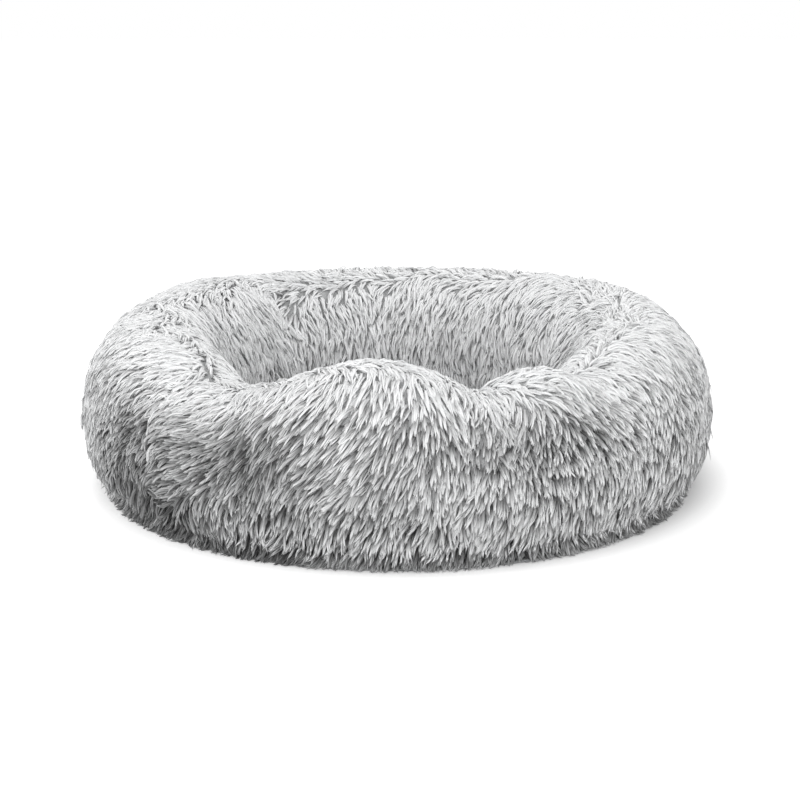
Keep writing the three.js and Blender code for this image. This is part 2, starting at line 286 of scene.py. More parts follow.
@dataclass(frozen=True)
class WovenFinish:
    """Plain or twill cloth with threads that cross."""

    name: str
    colour: Colour
    thread: float
    lay: Lay
    radius: float = 0.45
    twill: float = 0.0
    contrast: float = 0.35
    roughness: float = 0.8
    mottle: float = 60.0
    fluff: float = 1500.0

    def material(self) -> Material:
        """Makes the material, in which each thread is one rise of a wave.

        Returns:
            The material.
        """
        nodes = Nodes(bpy.data.materials.new(self.name))
        x, y, z = nodes.split(nodes.place())
        first, second = x, y
        if self.lay is Lay.ROUND:
            first = nodes.maths("MULTIPLY", nodes.maths("ARCTAN2", y, x), self.radius)
            second = z
        slant = nodes.maths("ADD", first, nodes.maths("MULTIPLY", second, self.twill))
        warp, weft = (
            nodes.maths("SINE", nodes.maths("MULTIPLY", threads, math.tau / self.thread))
            for threads in (slant, second)
        )
        cross = nodes.maths("MULTIPLY", warp, weft)
        height = nodes.maths("ADD", nodes.maths("MULTIPLY", cross, 0.5), 0.5)
        mottle = nodes.noise(nodes.place(), self.mottle, 4.0)
        fluff = nodes.noise(nodes.place(), self.fluff, 2.0)
        # Painted light and shade: the cloth is paler where its threads rise and darker where they dip,
        # from the same height as its bump.
        dark, pale = (times(self.colour, 1 + side * self.contrast) for side in (-1, 1))
        colour = nodes.ramp(height, [(0.1, dark), (0.9, pale)])
        colour = nodes.tinted(colour, nodes.spread(mottle, 0.86, 1.1))
        colour = nodes.tinted(colour, nodes.spread(fluff, 0.9, 1.08))
        rough = nodes.spread(fluff, self.roughness + 0.12, self.roughness - 0.1)
        numbers = {"Specular IOR Level": 0.25, "Sheen Weight": 0.1}
        return nodes.dress(colour, rough, height, self.thread * 0.35, numbers)


@dataclass(frozen=True)
class FibreFinish:
    """Loose polyester fibre fill."""

    colour: Colour = grey(0.86)
    # Painted shade: the share of the colour left in the hollows between tufts.
    shade: float = 0.72
    tufts: float = 45.0
    hairs: float = 700.0
    depth: float = 0.004

    def material(self) -> Material:
        """Makes the material.

        Returns:
            The material.
        """
        nodes = Nodes(bpy.data.materials.new("fibre_fill"))
        where = nodes.place()
        tufts, hairs = nodes.noise(where, self.tufts, 6.0), nodes.noise(where, self.hairs, 4.0)
        # Painted shade: the fill is darker where its tufts' relief is low.
        stops = [(0.3, times(self.colour, self.shade)), (0.65, self.colour)]
        colour = nodes.tinted(nodes.ramp(tufts, stops), nodes.spread(hairs, 0.88, 1.06))
        numbers = {"Specular IOR Level": 0.15, "Sheen Weight": 0.3}
        return nodes.dress(colour, nodes.spread(hairs, 1.0, 0.85), tufts, self.depth, numbers)


@dataclass(frozen=True)
class SolidFinish:
    """Moulded plastic, rubber or plated metal with fine wear."""

    name: str
    colour: Colour
    roughness: float
    metal: float = 0.0
    grain: float = 800.0
    wear: float = 0.12
    depth: float = 0.00004

    def material(self) -> Material:
        """Makes the material.

        Returns:
            The material.
        """
        nodes = Nodes(bpy.data.materials.new(self.name))
        where = nodes.place()
        grain, rubbed = nodes.noise(where, self.grain, 3.0), nodes.noise(where, self.grain / 10, 4.0)
        stops = [(0.35, times(self.colour, 1 - self.wear)), (0.65, self.colour)]
        rough = nodes.spread(grain, self.roughness - 0.08, self.roughness + 0.12)
        return nodes.dress(nodes.ramp(rubbed, stops), rough, grain, self.depth, {"Metallic": self.metal})


# Shapes that the sub-assemblies share


def unit(vectors: Array) -> Array:
    """Returns the vectors at length 1."""
    return vectors / np.maximum(np.linalg.norm(vectors, axis=-1, keepdims=True), 1e-12)


def eased(value: Array, low: float, high: float) -> Array:
    """Runs smoothly from 0 at low to 1 at high."""
    share = np.clip((value - low) / (high - low), 0, 1)
    return share * share * (3 - 2 * share)


def away(angle: Array, centre: float) -> Array:
    """Returns how many degrees an angle lies from another, the short way round."""
    return (angle - centre + 180) % 360 - 180


def distances(line: Array) -> Array:
    """Returns how far along a line each of its points lies."""
    return np.concatenate([[0.0], np.cumsum(np.linalg.norm(np.diff(line, axis=0), axis=1))])


def resampled(line: Array, step: float) -> Array:
    """Puts points a nearly even step apart along a line, and keeps its ends.

    Args:
        line: the line's points.
        step: the distance between two points.

    Returns:
        The new points.
    """
    lengths = distances(line)
    places = np.linspace(0.0, lengths[-1], max(1, round(lengths[-1] / step)) + 1)
    return np.stack([np.interp(places, lengths, column) for column in line.T], axis=1)


def arc(centre: tuple[float, float], radius: float, start: float, end: float) -> Array:
    """Returns points along an arc of a section, from one angle in degrees to another."""
    turn = np.radians(np.linspace(start, end, 25))
    return np.stack([centre[0] + radius * np.cos(turn), centre[1] + radius * np.sin(turn)], axis=1)


def turned(radius: Array, height: Array, angles: Array) -> Array:
    """Returns places at some distances, heights and angles, in radians, round the bed."""
    return np.stack([radius * np.sin(angles), -radius * np.cos(angles), height + 0 * angles], axis=-1)


def coordinates(mesh: bpy.types.Mesh) -> Array:
    """Reads the places of a mesh's vertices.

    Args:
        mesh: the mesh.

    Returns:
        The places.
    """
    found = np.empty(len(mesh.vertices) * 3, np.float32)
    mesh.vertices.foreach_get("co", found)
    return found.reshape(-1, 3).astype(float)


def linked(name: str, data: bpy.types.ID) -> Object:
    """Puts a new object into the scene.

    Args:
        name: its name.
        data: its mesh, curve, lamp or camera.

    Returns:
        The object, at the origin.
    """
    made = bpy.data.objects.new(name, data)
    bpy.context.scene.collection.objects.link(made)
    return made


def reorder(shape: Shape) -> None:
    """Puts a bmesh's edges and faces in the order of its vertices, which is that of each run.

    Args:
        shape: the bmesh. Spinning and welding leave its edges and faces in any order, and a
            cloth settles a little differently in another one.
    """
    shape.verts.index_update()
    places = [vertex.co.copy() for vertex in shape.verts]
    faces = []
    for face in shape.faces:
        corners = [vertex.index for vertex in face.verts]
        first = corners.index(min(corners))
        faces.append(corners[first:] + corners[:first])
    shape.clear()
    points = [shape.verts.new(place) for place in places]
    for corners in sorted(faces):
        shape.faces.new([points[number] for number in corners])


def mesh_object(name: str, shape: Shape, smooth: bool = True) -> Object:
    """Turns a finished bmesh into an object in the scene, and frees it.

    Args:
        name: the object's name.
        shape: the bmesh.
        smooth: whether its faces are shaded smooth.

    Returns:
        The object.
    """
    reorder(shape)
    for face in shape.faces:
        face.smooth = smooth
    mesh = bpy.data.meshes.new(name)
    shape.to_mesh(mesh)
    shape.free()
    return linked(name, mesh)


def strands_mesh(name: str, places: Array, faces: Array, maps: Array) -> bpy.types.Mesh:
    """Makes a mesh of smooth triangles with the pile's map.

    Args:
        name: its name.
        places: its vertices.
        faces: its triangles.
        maps: the map place of each triangle's corners.

    Returns:
        The mesh.
    """
    mesh = bpy.data.meshes.new(name)
    mesh.vertices.add(len(places))
    mesh.loops.add(faces.size)
    mesh.polygons.add(len(faces))
    mesh.vertices.foreach_set("co", places.astype(np.float32).ravel())
    mesh.loops.foreach_set("vertex_index", faces.astype(np.int32).ravel())
    mesh.polygons.foreach_set("loop_start", np.arange(0, faces.size, 3, dtype=np.int32))
    mesh.polygons.foreach_set("use_smooth", np.ones(len(faces), bool))
    mesh.update(calc_edges=True)
    mesh.validate()
    mesh.uv_layers.new(name=PILE_MAP).uv.foreach_set("vector", maps.astype(np.float32).ravel())
    return mesh


def thicken(piece: Object, thickness: float, side: float = 1.0) -> None:
    """Gives a sheet its thickness: where its faces point to, or behind them where side is -1."""
    wall = piece.modifiers.new("thickness", "SOLIDIFY")
    wall.thickness, wall.offset = thickness, side


def upward(piece: Object) -> float:
    """Returns 1 where a flat piece's faces point up, or -1 where they point down."""
    return math.copysign(1.0, piece.data.polygons[0].normal.z)


def beads(name: str, places: list[Matrix], size: tuple[float, float, float]) -> Object:
    """Makes one piece of many small flattened balls.

    Args:
        name: the piece's name.
        places: where each ball is, and how it is turned.
        size: half of a ball's length, width and height.

    Returns:
        The piece.
    """
    shape = bmesh.new()
    scale = Matrix.Diagonal((*size, 1))
    for place in places:
        bmesh.ops.create_icosphere(shape, subdivisions=1, radius=1.0, matrix=place @ scale)
    return mesh_object(name, shape)


def round_edges(shape: Shape, sharpest: float, width: float) -> None:
    """Rounds the edges that are sharper than an angle in degrees."""
    sharp = [e for e in shape.edges if e.calc_face_angle(0.0) > math.radians(sharpest)]
    bmesh.ops.bevel(shape, geom=sharp, affect="EDGES", offset=width, segments=2,
                    profile=0.5, material=-1, clamp_overlap=True)


def spun(line: Array, columns: int, closed: bool) -> Shape:
    """Turns a section once round the bed's centre line.

    Args:
        line: the section's points.
        columns: how many steps the turn has.
        closed: whether the section closes on itself.

    Returns:
        The bmesh, with its faces pointing out.
    """
    shape = bmesh.new()
    points = [shape.verts.new((0.0, -r, z)) for r, z in line]
    ends = points[1:] + points[:1] if closed else points[1:]
    edges = [shape.edges.new(pair) for pair in zip(points, ends)]
    bmesh.ops.spin(
        shape, geom=points + edges, cent=(0, 0, 0), axis=(0, 0, 1), dvec=(0, 0, 0),
        angle=math.tau, steps=columns, use_merge=True, use_duplicate=False,
    )
    bmesh.ops.remove_doubles(shape, verts=shape.verts[:], dist=1e-6)
    bmesh.ops.recalc_face_normals(shape, faces=shape.faces[:])
    return shape


class Skin:
    """A skin that can be read between its points."""

    def __init__(self, line: Array, points: Array, closed: bool) -> None:
        """Works out the skin's directions.

        Args:
            line: the section that it was turned from.
            points: its points, by row and column.
            closed: whether its last row meets its first. A closed section runs up the outer
                side, and an open one runs out over the top.
        """
        self.line, self.points, self.closed = line, points, closed
        self.lengths = distances(line)
        around = np.roll(points, -1, 1) - np.roll(points, 1, 1)
        if closed:
            along = np.roll(points, -1, 0) - np.roll(points, 1, 0)
        else:
            along = np.gradient(points, axis=0)
            around[0] = around[1]
        self.along, self.around = unit(along), unit(around)
        self.out = unit(np.cross(self.around, self.along)) * (1.0 if closed else -1.0)

    def rows(self, lengths: Array) -> Array:
        """Returns the rows, with fractions, at some distances along the section."""
        return np.interp(lengths, self.lengths, np.arange(len(self.lengths)))

    def at(self, rows: Array, turns: Array) -> tuple[Array, ...]:
        """Reads the skin between its points.

        Args:
            rows: places along the section, in rows.
            turns: angles round the bed, in radians.

        Returns:
            The points there, and the unit directions out of the skin, along the section and
            round the bed.
        """
        count, columns = self.points.shape[:2]
        rows = rows % count if self.closed else np.clip(rows, 0, count - 1 - 1e-6)
        places = (turns / math.tau * columns) % columns
        row, column = np.floor(rows).astype(int), np.floor(places).astype(int) % columns
        down, right = (rows - row)[:, None], (places - np.floor(places))[:, None]
        below, beside = (row + 1) % count, (column + 1) % columns

        def read(values: Array) -> Array:
            """Mixes the values at the four nearest points."""
            near = values[row, column] * (1 - right) + values[row, beside] * right
            far = values[below, column] * (1 - right) + values[below, beside] * right
            return near * (1 - down) + far * down

        return read(self.points), *(unit(read(v)) for v in (self.out, self.along, self.around))

    def moved(self, distance: float) -> Array:
        """Returns the skin's points, each moved out by a distance, or in where it is negative."""
        return self.points + self.out * distance


@dataclass(frozen=True)
class Stuffing:
    """Loose fill that pushes a cloth cover out, worked out as a cloth under pressure."""

    pressure: float
    slack: float
    most: float = 0.006
    frames: int = 20

    def fill(self, piece: Object, held: Array) -> Array:
        """Blows the cover up from its cut shape.

        Args:
            piece: the closed cover.
            held: numbers of the vertices that a seam or the base holds still.

        Returns:
            Where its vertices end up.
        """
        start = coordinates(piece.data)
        group = piece.vertex_groups.new(name="held")
        group.add(held.tolist(), 1.0, "REPLACE")
        cloth = piece.modifiers.new("stuffing", "CLOTH")
        for name, value in {
            "quality": 4, "mass": 0.3, "tension_stiffness": 20, "compression_stiffness": 20,
            "shear_stiffness": 8, "bending_stiffness": 0.6, "shrink_min": -self.slack,
            "vertex_group_mass": group.name, "use_pressure": True,
            "uniform_pressure_force": self.pressure,
        }.items():
            setattr(cloth.settings, name, value)
        cloth.settings.effector_weights.gravity = 0
        cloth.point_cache.frame_end = self.frames
        for number in range(1, self.frames + 1):
            bpy.context.scene.frame_set(number)
        worn = piece.evaluated_get(bpy.context.evaluated_depsgraph_get())
        moved = coordinates(worn.data) - start
        piece.modifiers.remove(cloth)
        piece.vertex_groups.remove(group)
        bpy.context.scene.frame_set(1)
        far = np.linalg.norm(moved, axis=1, keepdims=True)
        log.info("%s: the fill moved its cover by up to %.1f mm", piece.name, 1000 * far.max())
        return start + moved * np.minimum(1, self.most / np.maximum(far, 1e-9))


class Cover:
    """A cover turned from a section, which can be settled, filled and cut into layers."""

    def __init__(self, name: str, line: Array, columns: int, closed: bool) -> None:
        """Turns the section and keeps which vertex is where.

        Args:
            name: the piece's name.
            line: the section's points.
            columns: how many steps it has round the bed.
            closed: whether the section closes on itself.
        """
        self.line, self.closed = line, closed
        self.body = mesh_object(name, spun(line, columns, closed))
        self.angles = np.arange(columns) / columns * math.tau
        found = coordinates(self.body.data)
        tree = kdtree.KDTree(len(found))
        for number, place in enumerate(found):
            tree.insert(place, number)
        tree.balance()
        wanted = turned(line[:, :1], line[:, 1:], self.angles)
        flat = [tree.find(place)[1] for place in wanted.reshape(-1, 3)]
        self.order = np.array(flat).reshape(wanted.shape[:2])

    def shape(self, points: Array) -> None:
        """Moves the cover's vertices.

        Args:
            points: their places by row and column.
        """
        found = coordinates(self.body.data)
        found[self.order] = points
        self.body.data.vertices.foreach_set("co", found.astype(np.float32).ravel())
        self.body.data.update()

    def fill(self, stuffing: Stuffing, held_rows: Array) -> Skin:
        """Stuffs the cover, with some rows held by seams, and returns the filled cover's skin."""
        found = stuffing.fill(self.body, np.unique(self.order[held_rows]))
        return Skin(self.line, found[self.order], self.closed)

    def layer(
        self, name: str, points: Array, rows: tuple[int, int], middle: float = 180.0,
        half: float = 180.0, thickness: float = 0.0,
    ) -> Object:
        """Cuts a layer out of the cover.

        Args:
            name: the new piece's name.
            points: where its points lie, by row and column.
            rows: its first and last row.
            middle: the angle of its middle, in degrees.
            half: how far it reaches to both sides of its middle.
            thickness: the cloth's, outwards from the points, or 0 for a closed body.

        Returns:
            The new piece.
        """
        shape = bmesh.new()
        shape.from_mesh(self.body.data)
        shape.verts.ensure_lookup_table()
        keep = np.zeros(len(shape.verts), bool)
        columns = np.abs(away(np.degrees(self.angles), middle)) <= half + 1e-6
        chosen = np.arange(rows[0], rows[1] + 1) % len(self.line)
        keep[self.order[np.ix_(chosen, columns)]] = True
        place = np.empty((len(shape.verts), 3))
        place[self.order] = points
        for vertex, where in zip(shape.verts, place):
            vertex.co = where
        spare = [v for v in shape.verts if not keep[v.index]]
        bmesh.ops.delete(shape, geom=spare, context="VERTS")
        made = mesh_object(name, shape)
        if thickness:
            thicken(made, thickness)
        return made


@dataclass
class SubAssembly:
    """A part of the bed that is built and dressed in one go.

    Attributes:
        finishes: the bed's materials, by name.
    """

    finishes: dict[str, Material]

    def dress(self, piece: Object, finish: str, slot: str, *nodes: str, body: str = BED) -> None:
        """Gives a piece its finish, and its place among the bed's parts.

        Args:
            piece: the object.
            finish: its finish, by name.
            slot: the record's material slot; not used.
            nodes: the solids that it stands for.
            body: the body that it moves with.
        """
        piece.data.materials.clear()
        piece.data.materials.append(self.finishes[finish])
        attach(piece, body)
        if nodes:
            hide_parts(*nodes)
        log.info("%s: %d faces", piece.name, len(piece.data.polygons))


@dataclass
class Pillowed(SubAssembly):
    """A sub-assembly with a fur cover over a plain casing that is filled with fibre."""

    casing: float = 0.001
    gap: float = 0.0003
    skin_depth: float = 0.0015
    step: float = 0.0105

    def add_pillow(
        self, name: str, cover: Cover, skin: Skin, spans: list[tuple[int, int]],
        sizes: list[dict[str, object]], slack: float, fill: float,
    ) -> None:
        """Adds the casing in a top and a bottom, and the fibre fill in it.

        Args:
            name: the sub-assembly's word in its pieces' names.
            cover: the cover that they are cut from.
            skin: its skin once it is filled.
            spans: the first and last row of the top and of the bottom.
            sizes: their flat sizes, and their areas where they aren't strips; not used.
            slack: the room between the skin and the casing.
            fill: how much of the casing the fibre fills; not used.
        """
        inner = skin.moved(-slack - self.casing)
        for side, span, size in zip(("top", "bottom"), spans, sizes):
            made = cover.layer(f"{name}_casing_{side}", inner, span, thickness=self.casing)
            self.dress(made, "liner", "liner", f"{name}_liner_{side}")
        filled = skin.moved(-slack - self.gap - self.casing)
        stuffing = cover.layer(f"{name}_stuffing", filled, (0, len(cover.line) - 1))
        self.dress(stuffing, "fibre", "fill", f"{name}_fill")


# The pile


class Drift:
    """A smooth random field over the bed, the same on each run.

    Attributes:
        radius: where the waves that run round the bed have their stated length.
    """

    radius = 0.42

    def __init__(self, seed: int, shortest: float, longest: float) -> None:
        """Draws the field's waves.

        Args:
            seed: the number that sets the random draws.
            shortest: the shortest wave, in metres.
            longest: the longest wave, in metres.
        """
        draw, count = np.random.default_rng(seed), 36
        waves = draw.uniform(shortest, longest, count)
        heading = draw.uniform(0, math.pi, count)
        self.along = math.tau / waves * np.sin(heading)
        self.around = np.round(math.tau * self.radius / waves * np.cos(heading))
        self.phase = draw.uniform(0, math.tau, count)
        self.scale = math.sqrt(2 / count)

    def at(self, along: Array, turns: Array) -> Array:
        """Reads the field, which mostly lies between -2 and 2, at distances and in radians."""
        angle = np.outer(along, self.along) + np.outer(turns, self.around) + self.phase
        return np.cos(angle).sum(1) * self.scale


@dataclass(frozen=True)
class Patch:
    """A place on the bed where something differs, fading away on all sides.

    Attributes:
        angle: where it is round the bed, in degrees.
        spread: how far it reaches round the bed, in degrees.
        share: how strong it is.
        height: its height.
        reach: how far it reaches up and down.
    """

    angle: float
    spread: float
    share: float
    height: float = 0.0
    reach: float = math.inf

    def at(self, degrees: Array, height: Array | float = 0.0) -> Array:
        """Returns its strength at some angles and heights."""
        level = np.exp(-(((height - self.height) / self.reach) ** 2))
        return self.share * np.exp(-((away(degrees, self.angle) / self.spread) ** 2)) * level


@dataclass(frozen=True)
class StrandKind:
    """One kind of strand in a tuft.

    Attributes:
        count: how many a tuft has.
        length: its length as a share of the tuft's.
        width: its greatest width.
        rings: places of its rings along it, as shares, from the root.
        widths: its width at each ring, as shares.
    """

    count: int
    length: float
    width: float
    rings: tuple[float, ...]
    widths: tuple[float, ...]

    def prototype(self) -> tuple[Array, Array, Array]:
        """Makes one straight strand of three sides with a closed root and a pointed tip.

        Its faces point inwards, because bending mirrors it.

        Returns:
            Its vertices as [across, up, ring], its triangles, and the map places of their
            corners.
        """
        shape = bmesh.new()
        bmesh.ops.create_cone(
            shape, cap_ends=True, cap_tris=False, segments=3, radius1=1.0, radius2=0.0, depth=1.0,
            matrix=Matrix.Translation((0, 0, 0.5)),
        )
        bmesh.ops.remove_doubles(shape, verts=shape.verts[:], dist=1e-4)
        for place in self.rings[1:]:
            bmesh.ops.bisect_plane(
                shape, geom=shape.verts[:] + shape.edges[:] + shape.faces[:], dist=1e-5,
                plane_co=(0, 0, place), plane_no=(0, 0, 1),
            )
        bmesh.ops.triangulate(shape, faces=shape.faces[:])
        bmesh.ops.recalc_face_normals(shape, faces=shape.faces[:])
        bmesh.ops.reverse_faces(shape, faces=shape.faces[:])
        shape.verts.index_update()
        places = np.array([v.co for v in shape.verts])
        faces = np.array([[v.index for v in f.verts] for f in shape.faces])
        shape.free()
        ends = np.array([*self.rings, 1.0])
        ring = np.abs(places[:, 2:] - ends).argmin(1)
        turn = np.arctan2(places[:, 1], places[:, 0])
        tip = ring == len(self.rings)
        across = np.where(tip, 0.0, np.cos(turn - math.pi / 2))
        up = np.where(tip, 0.0, np.sin(turn - math.pi / 2))
        corner = np.round((turn / math.tau) * 3).astype(int) % 3
        maps = np.empty((len(faces), 3, 2))
        for number, face in enumerate(faces):
            sides = sorted({int(corner[v]) for v in face if not tip[v]})
            low = sides[-1] if sides == [0, 2] else sides[0]
            for place, vertex in enumerate(face):
                side = 0.5 if tip[vertex] else float(corner[vertex] != low)
                maps[number, place] = side, ends[ring[vertex]]
            if (ring[face] == 0).all():
                maps[number, :, 1] = (0.0, 0.02, 0.0)
        return np.stack([across, up, ring], axis=1), faces, maps


@dataclass
class Tufts:
    """Where tufts of pile stand and how they lie, one row to a tuft.

    A tuft leaves the skin at its lift and lies along its flow. Its shade says how pale it is
    and its tone how far along the strands' own shades its tips come, both from 0 to 1. Lift,
    the start of its wave and its turn round the bed are in radians.
    """

    root: Array
    out: Array
    flow: Array
    tip: Array
    length: Array
    lift: Array
    shade: Array
    tone: Array
    wave: Array
    turn: Array

    def chosen(self, which: Array) -> "Tufts":
        """Returns some of the tufts."""
        return Tufts(*(getattr(self, name)[which] for name in self.__dataclass_fields__))


@dataclass(frozen=True)
class Pile:
    """Long pile: tufts of strands that gather towards their tips.

    The strands are copies of a few prototypes, each bent along its own curve, because no
    modelling operator bends a hundred thousand of them each its own way. The lie is the share of
    its length that a tuft covers, and a pair of numbers is a range or the ends of a random draw.
    """

    kinds: tuple[StrandKind, ...] = (
        StrandKind(3, 1.0, 0.0047, (0.0, 0.30, 0.58, 0.82), (0.6, 1.0, 0.94, 0.7)),
        StrandKind(2, 0.95, 0.0031, (0.0, 0.5), (0.75, 1.0)),
    )
    across: float = 0.0064
    along: float = 0.0127
    reach: float = 0.0046
    reach_along: float = 1.3
    lie: float = 0.86
    lengths: tuple[float, float] = (0.78, 1.06)
    lift_spread: float = 0.10
    bend: float = 0.52
    wave: float = 0.0021
    wave_turns: float = 6.5
    waves: tuple[float, float] = (0.5, 1.3)
    wave_spread: float = 0.35
    gather: float = 0.88
    gather_power: float = 0.8
    stray: float = 0.0009
    flyaway: float = 0.05
    flyaway_stray: float = 3.0
    roll_spread: float = 0.45
    sizes: tuple[float, float] = (0.7, 1.25)
    shade_spread: float = 0.09
    shades: tuple[float, float] = (0.06, 0.94)
    flat: float = 0.5
    sunk: float = 0.0012
    map_width: float = 0.05
    map_edge: float = 0.01
    floor: float = 0.0009
    core: float = 0.0008

    def spots(
        self, lines: Array, radii: Array, span: float, loose: tuple[float, float],
        draw: np.random.Generator,
    ) -> tuple[Array, Array]:
        """Sets out spots for tufts in staggered lines round the bed.

        Args:
            lines: each line's distance along the section.
            radii: each line's radius.
            span: how far the lines run round the bed, in radians.
            loose: how far a spot strays along its line and out of it, as shares of a step.
            draw: the source of random numbers.

        Returns:
            The spots' distances along the section, and their shares of the span.
        """
        along, shares = [], []
        for number, (place, radius) in enumerate(zip(lines, radii)):
            count = max(5, round(span * radius / self.across))
            stray = draw.uniform(-loose[0], loose[0], count)
            shares.append((np.arange(count) + 0.5 * (number % 2) + stray) / count)
            along.append(place + draw.uniform(-loose[1], loose[1], count) * self.along)
        return np.concatenate(along), np.concatenate(shares)

    def grow(self, name: str, tufts: Tufts, seed: int) -> Object:
        """Makes the strands of some tufts as one piece.

        Args:
            name: the piece's name.
            tufts: the tufts.
            seed: the number that sets the random draws.

        Returns:
            The piece.
        """
        draw = np.random.default_rng(seed)
        places, faces, maps, first = [], [], [], 0
        for kind in self.kinds:
            vertices, triangles, corners = kind.prototype()
            bent, shade, tone = self.bent(kind, vertices, tufts, draw)
            starts = first + np.arange(len(bent))[:, None, None] * len(vertices)
            across = shade[:, None, None] + (corners[None, :, :, 0] - 0.5) * self.map_width
            along = corners[None, :, :, 1] * tone[:, None, None]
            along = self.map_edge + (1 - 2 * self.map_edge) * along
            places.append(bent.reshape(-1, 3))
            faces.append((triangles[None] + starts).reshape(-1, 3))
            maps.append(np.stack([across, along], axis=3).reshape(-1, 2))
            first += len(bent) * len(vertices)
        return linked(name, strands_mesh(name, *map(np.concatenate, (places, faces, maps))))

    def bent(
        self, kind: StrandKind, vertices: Array, tufts: Tufts, draw: np.random.Generator
    ) -> tuple[Array, Array, Array]:
        """Bends one kind of strand along its tufts.

        Args:
            kind: the strand.
            vertices: its prototype's vertices.
            tufts: the tufts that it grows in.
            draw: the source of random numbers.

        Returns:
            The vertices of each strand, and each strand's shade and tone.
        """
        tuft = np.repeat(np.arange(len(tufts.root)), kind.count)
        count = len(tuft)
        out, flow = tufts.out[tuft], tufts.flow[tuft]
        side = np.cross(flow, out)
        turn = draw.uniform(0, math.tau, count)[:, None]
        far = np.sqrt(draw.uniform(0, 1, count)) * self.reach
        offset = (side * np.cos(turn) + flow * np.sin(turn) * self.reach_along) * far[:, None]
        root = tufts.root[tuft] - out * self.sunk
        length = tufts.length[tuft] * kind.length * draw.uniform(*self.lengths, count)
        share = (length / tufts.length[tuft])[:, None]
        lift = (tufts.lift[tuft] + draw.normal(0, self.lift_spread, count))[:, None]
        rise = flow * np.cos(lift) + out * np.sin(lift)
        bend = root + rise * length[:, None] * self.bend
        loose = 1 + self.flyaway_stray * (draw.uniform(0, 1, count) < self.flyaway)[:, None]
        stray = draw.normal(0, self.stray, (count, 3)) * loose
        tip = root + (tufts.tip[tuft] - root) * share + stray
        sway = side * self.wave * draw.uniform(*self.waves, count)[:, None]
        phase = tufts.wave[tuft][:, None] + draw.normal(0, self.wave_spread, count)[:, None]

        line, heading = [], []
        for t in (*kind.rings, 1.0):
            held = 1 - self.gather * t**self.gather_power
            point = (1 - t) ** 2 * root + 2 * t * (1 - t) * bend + t * t * tip
            line.append(point + offset * held + sway * np.sin(phase + self.wave_turns * t) * t)
            slope = 2 * (1 - t) * (bend - root) + 2 * t * (tip - bend)
            heading.append(unit(slope - offset * self.gather * self.gather_power))
        line, heading = np.stack(line, 1), np.stack(heading, 1)
        line[:, :, 2] = np.maximum(line[:, :, 2], self.floor + self.core)
        flat = unit(np.cross(heading, out[:, None]))
        tall = np.cross(flat, heading)
        roll = draw.normal(0, self.roll_spread, count)[:, None, None]
        across = flat * np.cos(roll) + tall * np.sin(roll)
        up = tall * np.cos(roll) - flat * np.sin(roll)
        ring = vertices[:, 2].astype(int)
        widths = np.array([*kind.widths, 0.0])[ring] * kind.width / 2
        size = draw.uniform(*self.sizes, count)[:, None]
        wide = (size * widths * vertices[:, 0])[..., None]
        high = (size * widths * vertices[:, 1])[..., None] * self.flat
        made = line[:, ring] + across[:, ring] * wide + up[:, ring] * high
        made[:, :, 2] = np.maximum(made[:, :, 2], self.floor)
        shade = np.clip(tufts.shade[tuft] + draw.normal(0, self.shade_spread, count), *self.shades)
        return made, shade, tufts.tone[tuft]


# The ring


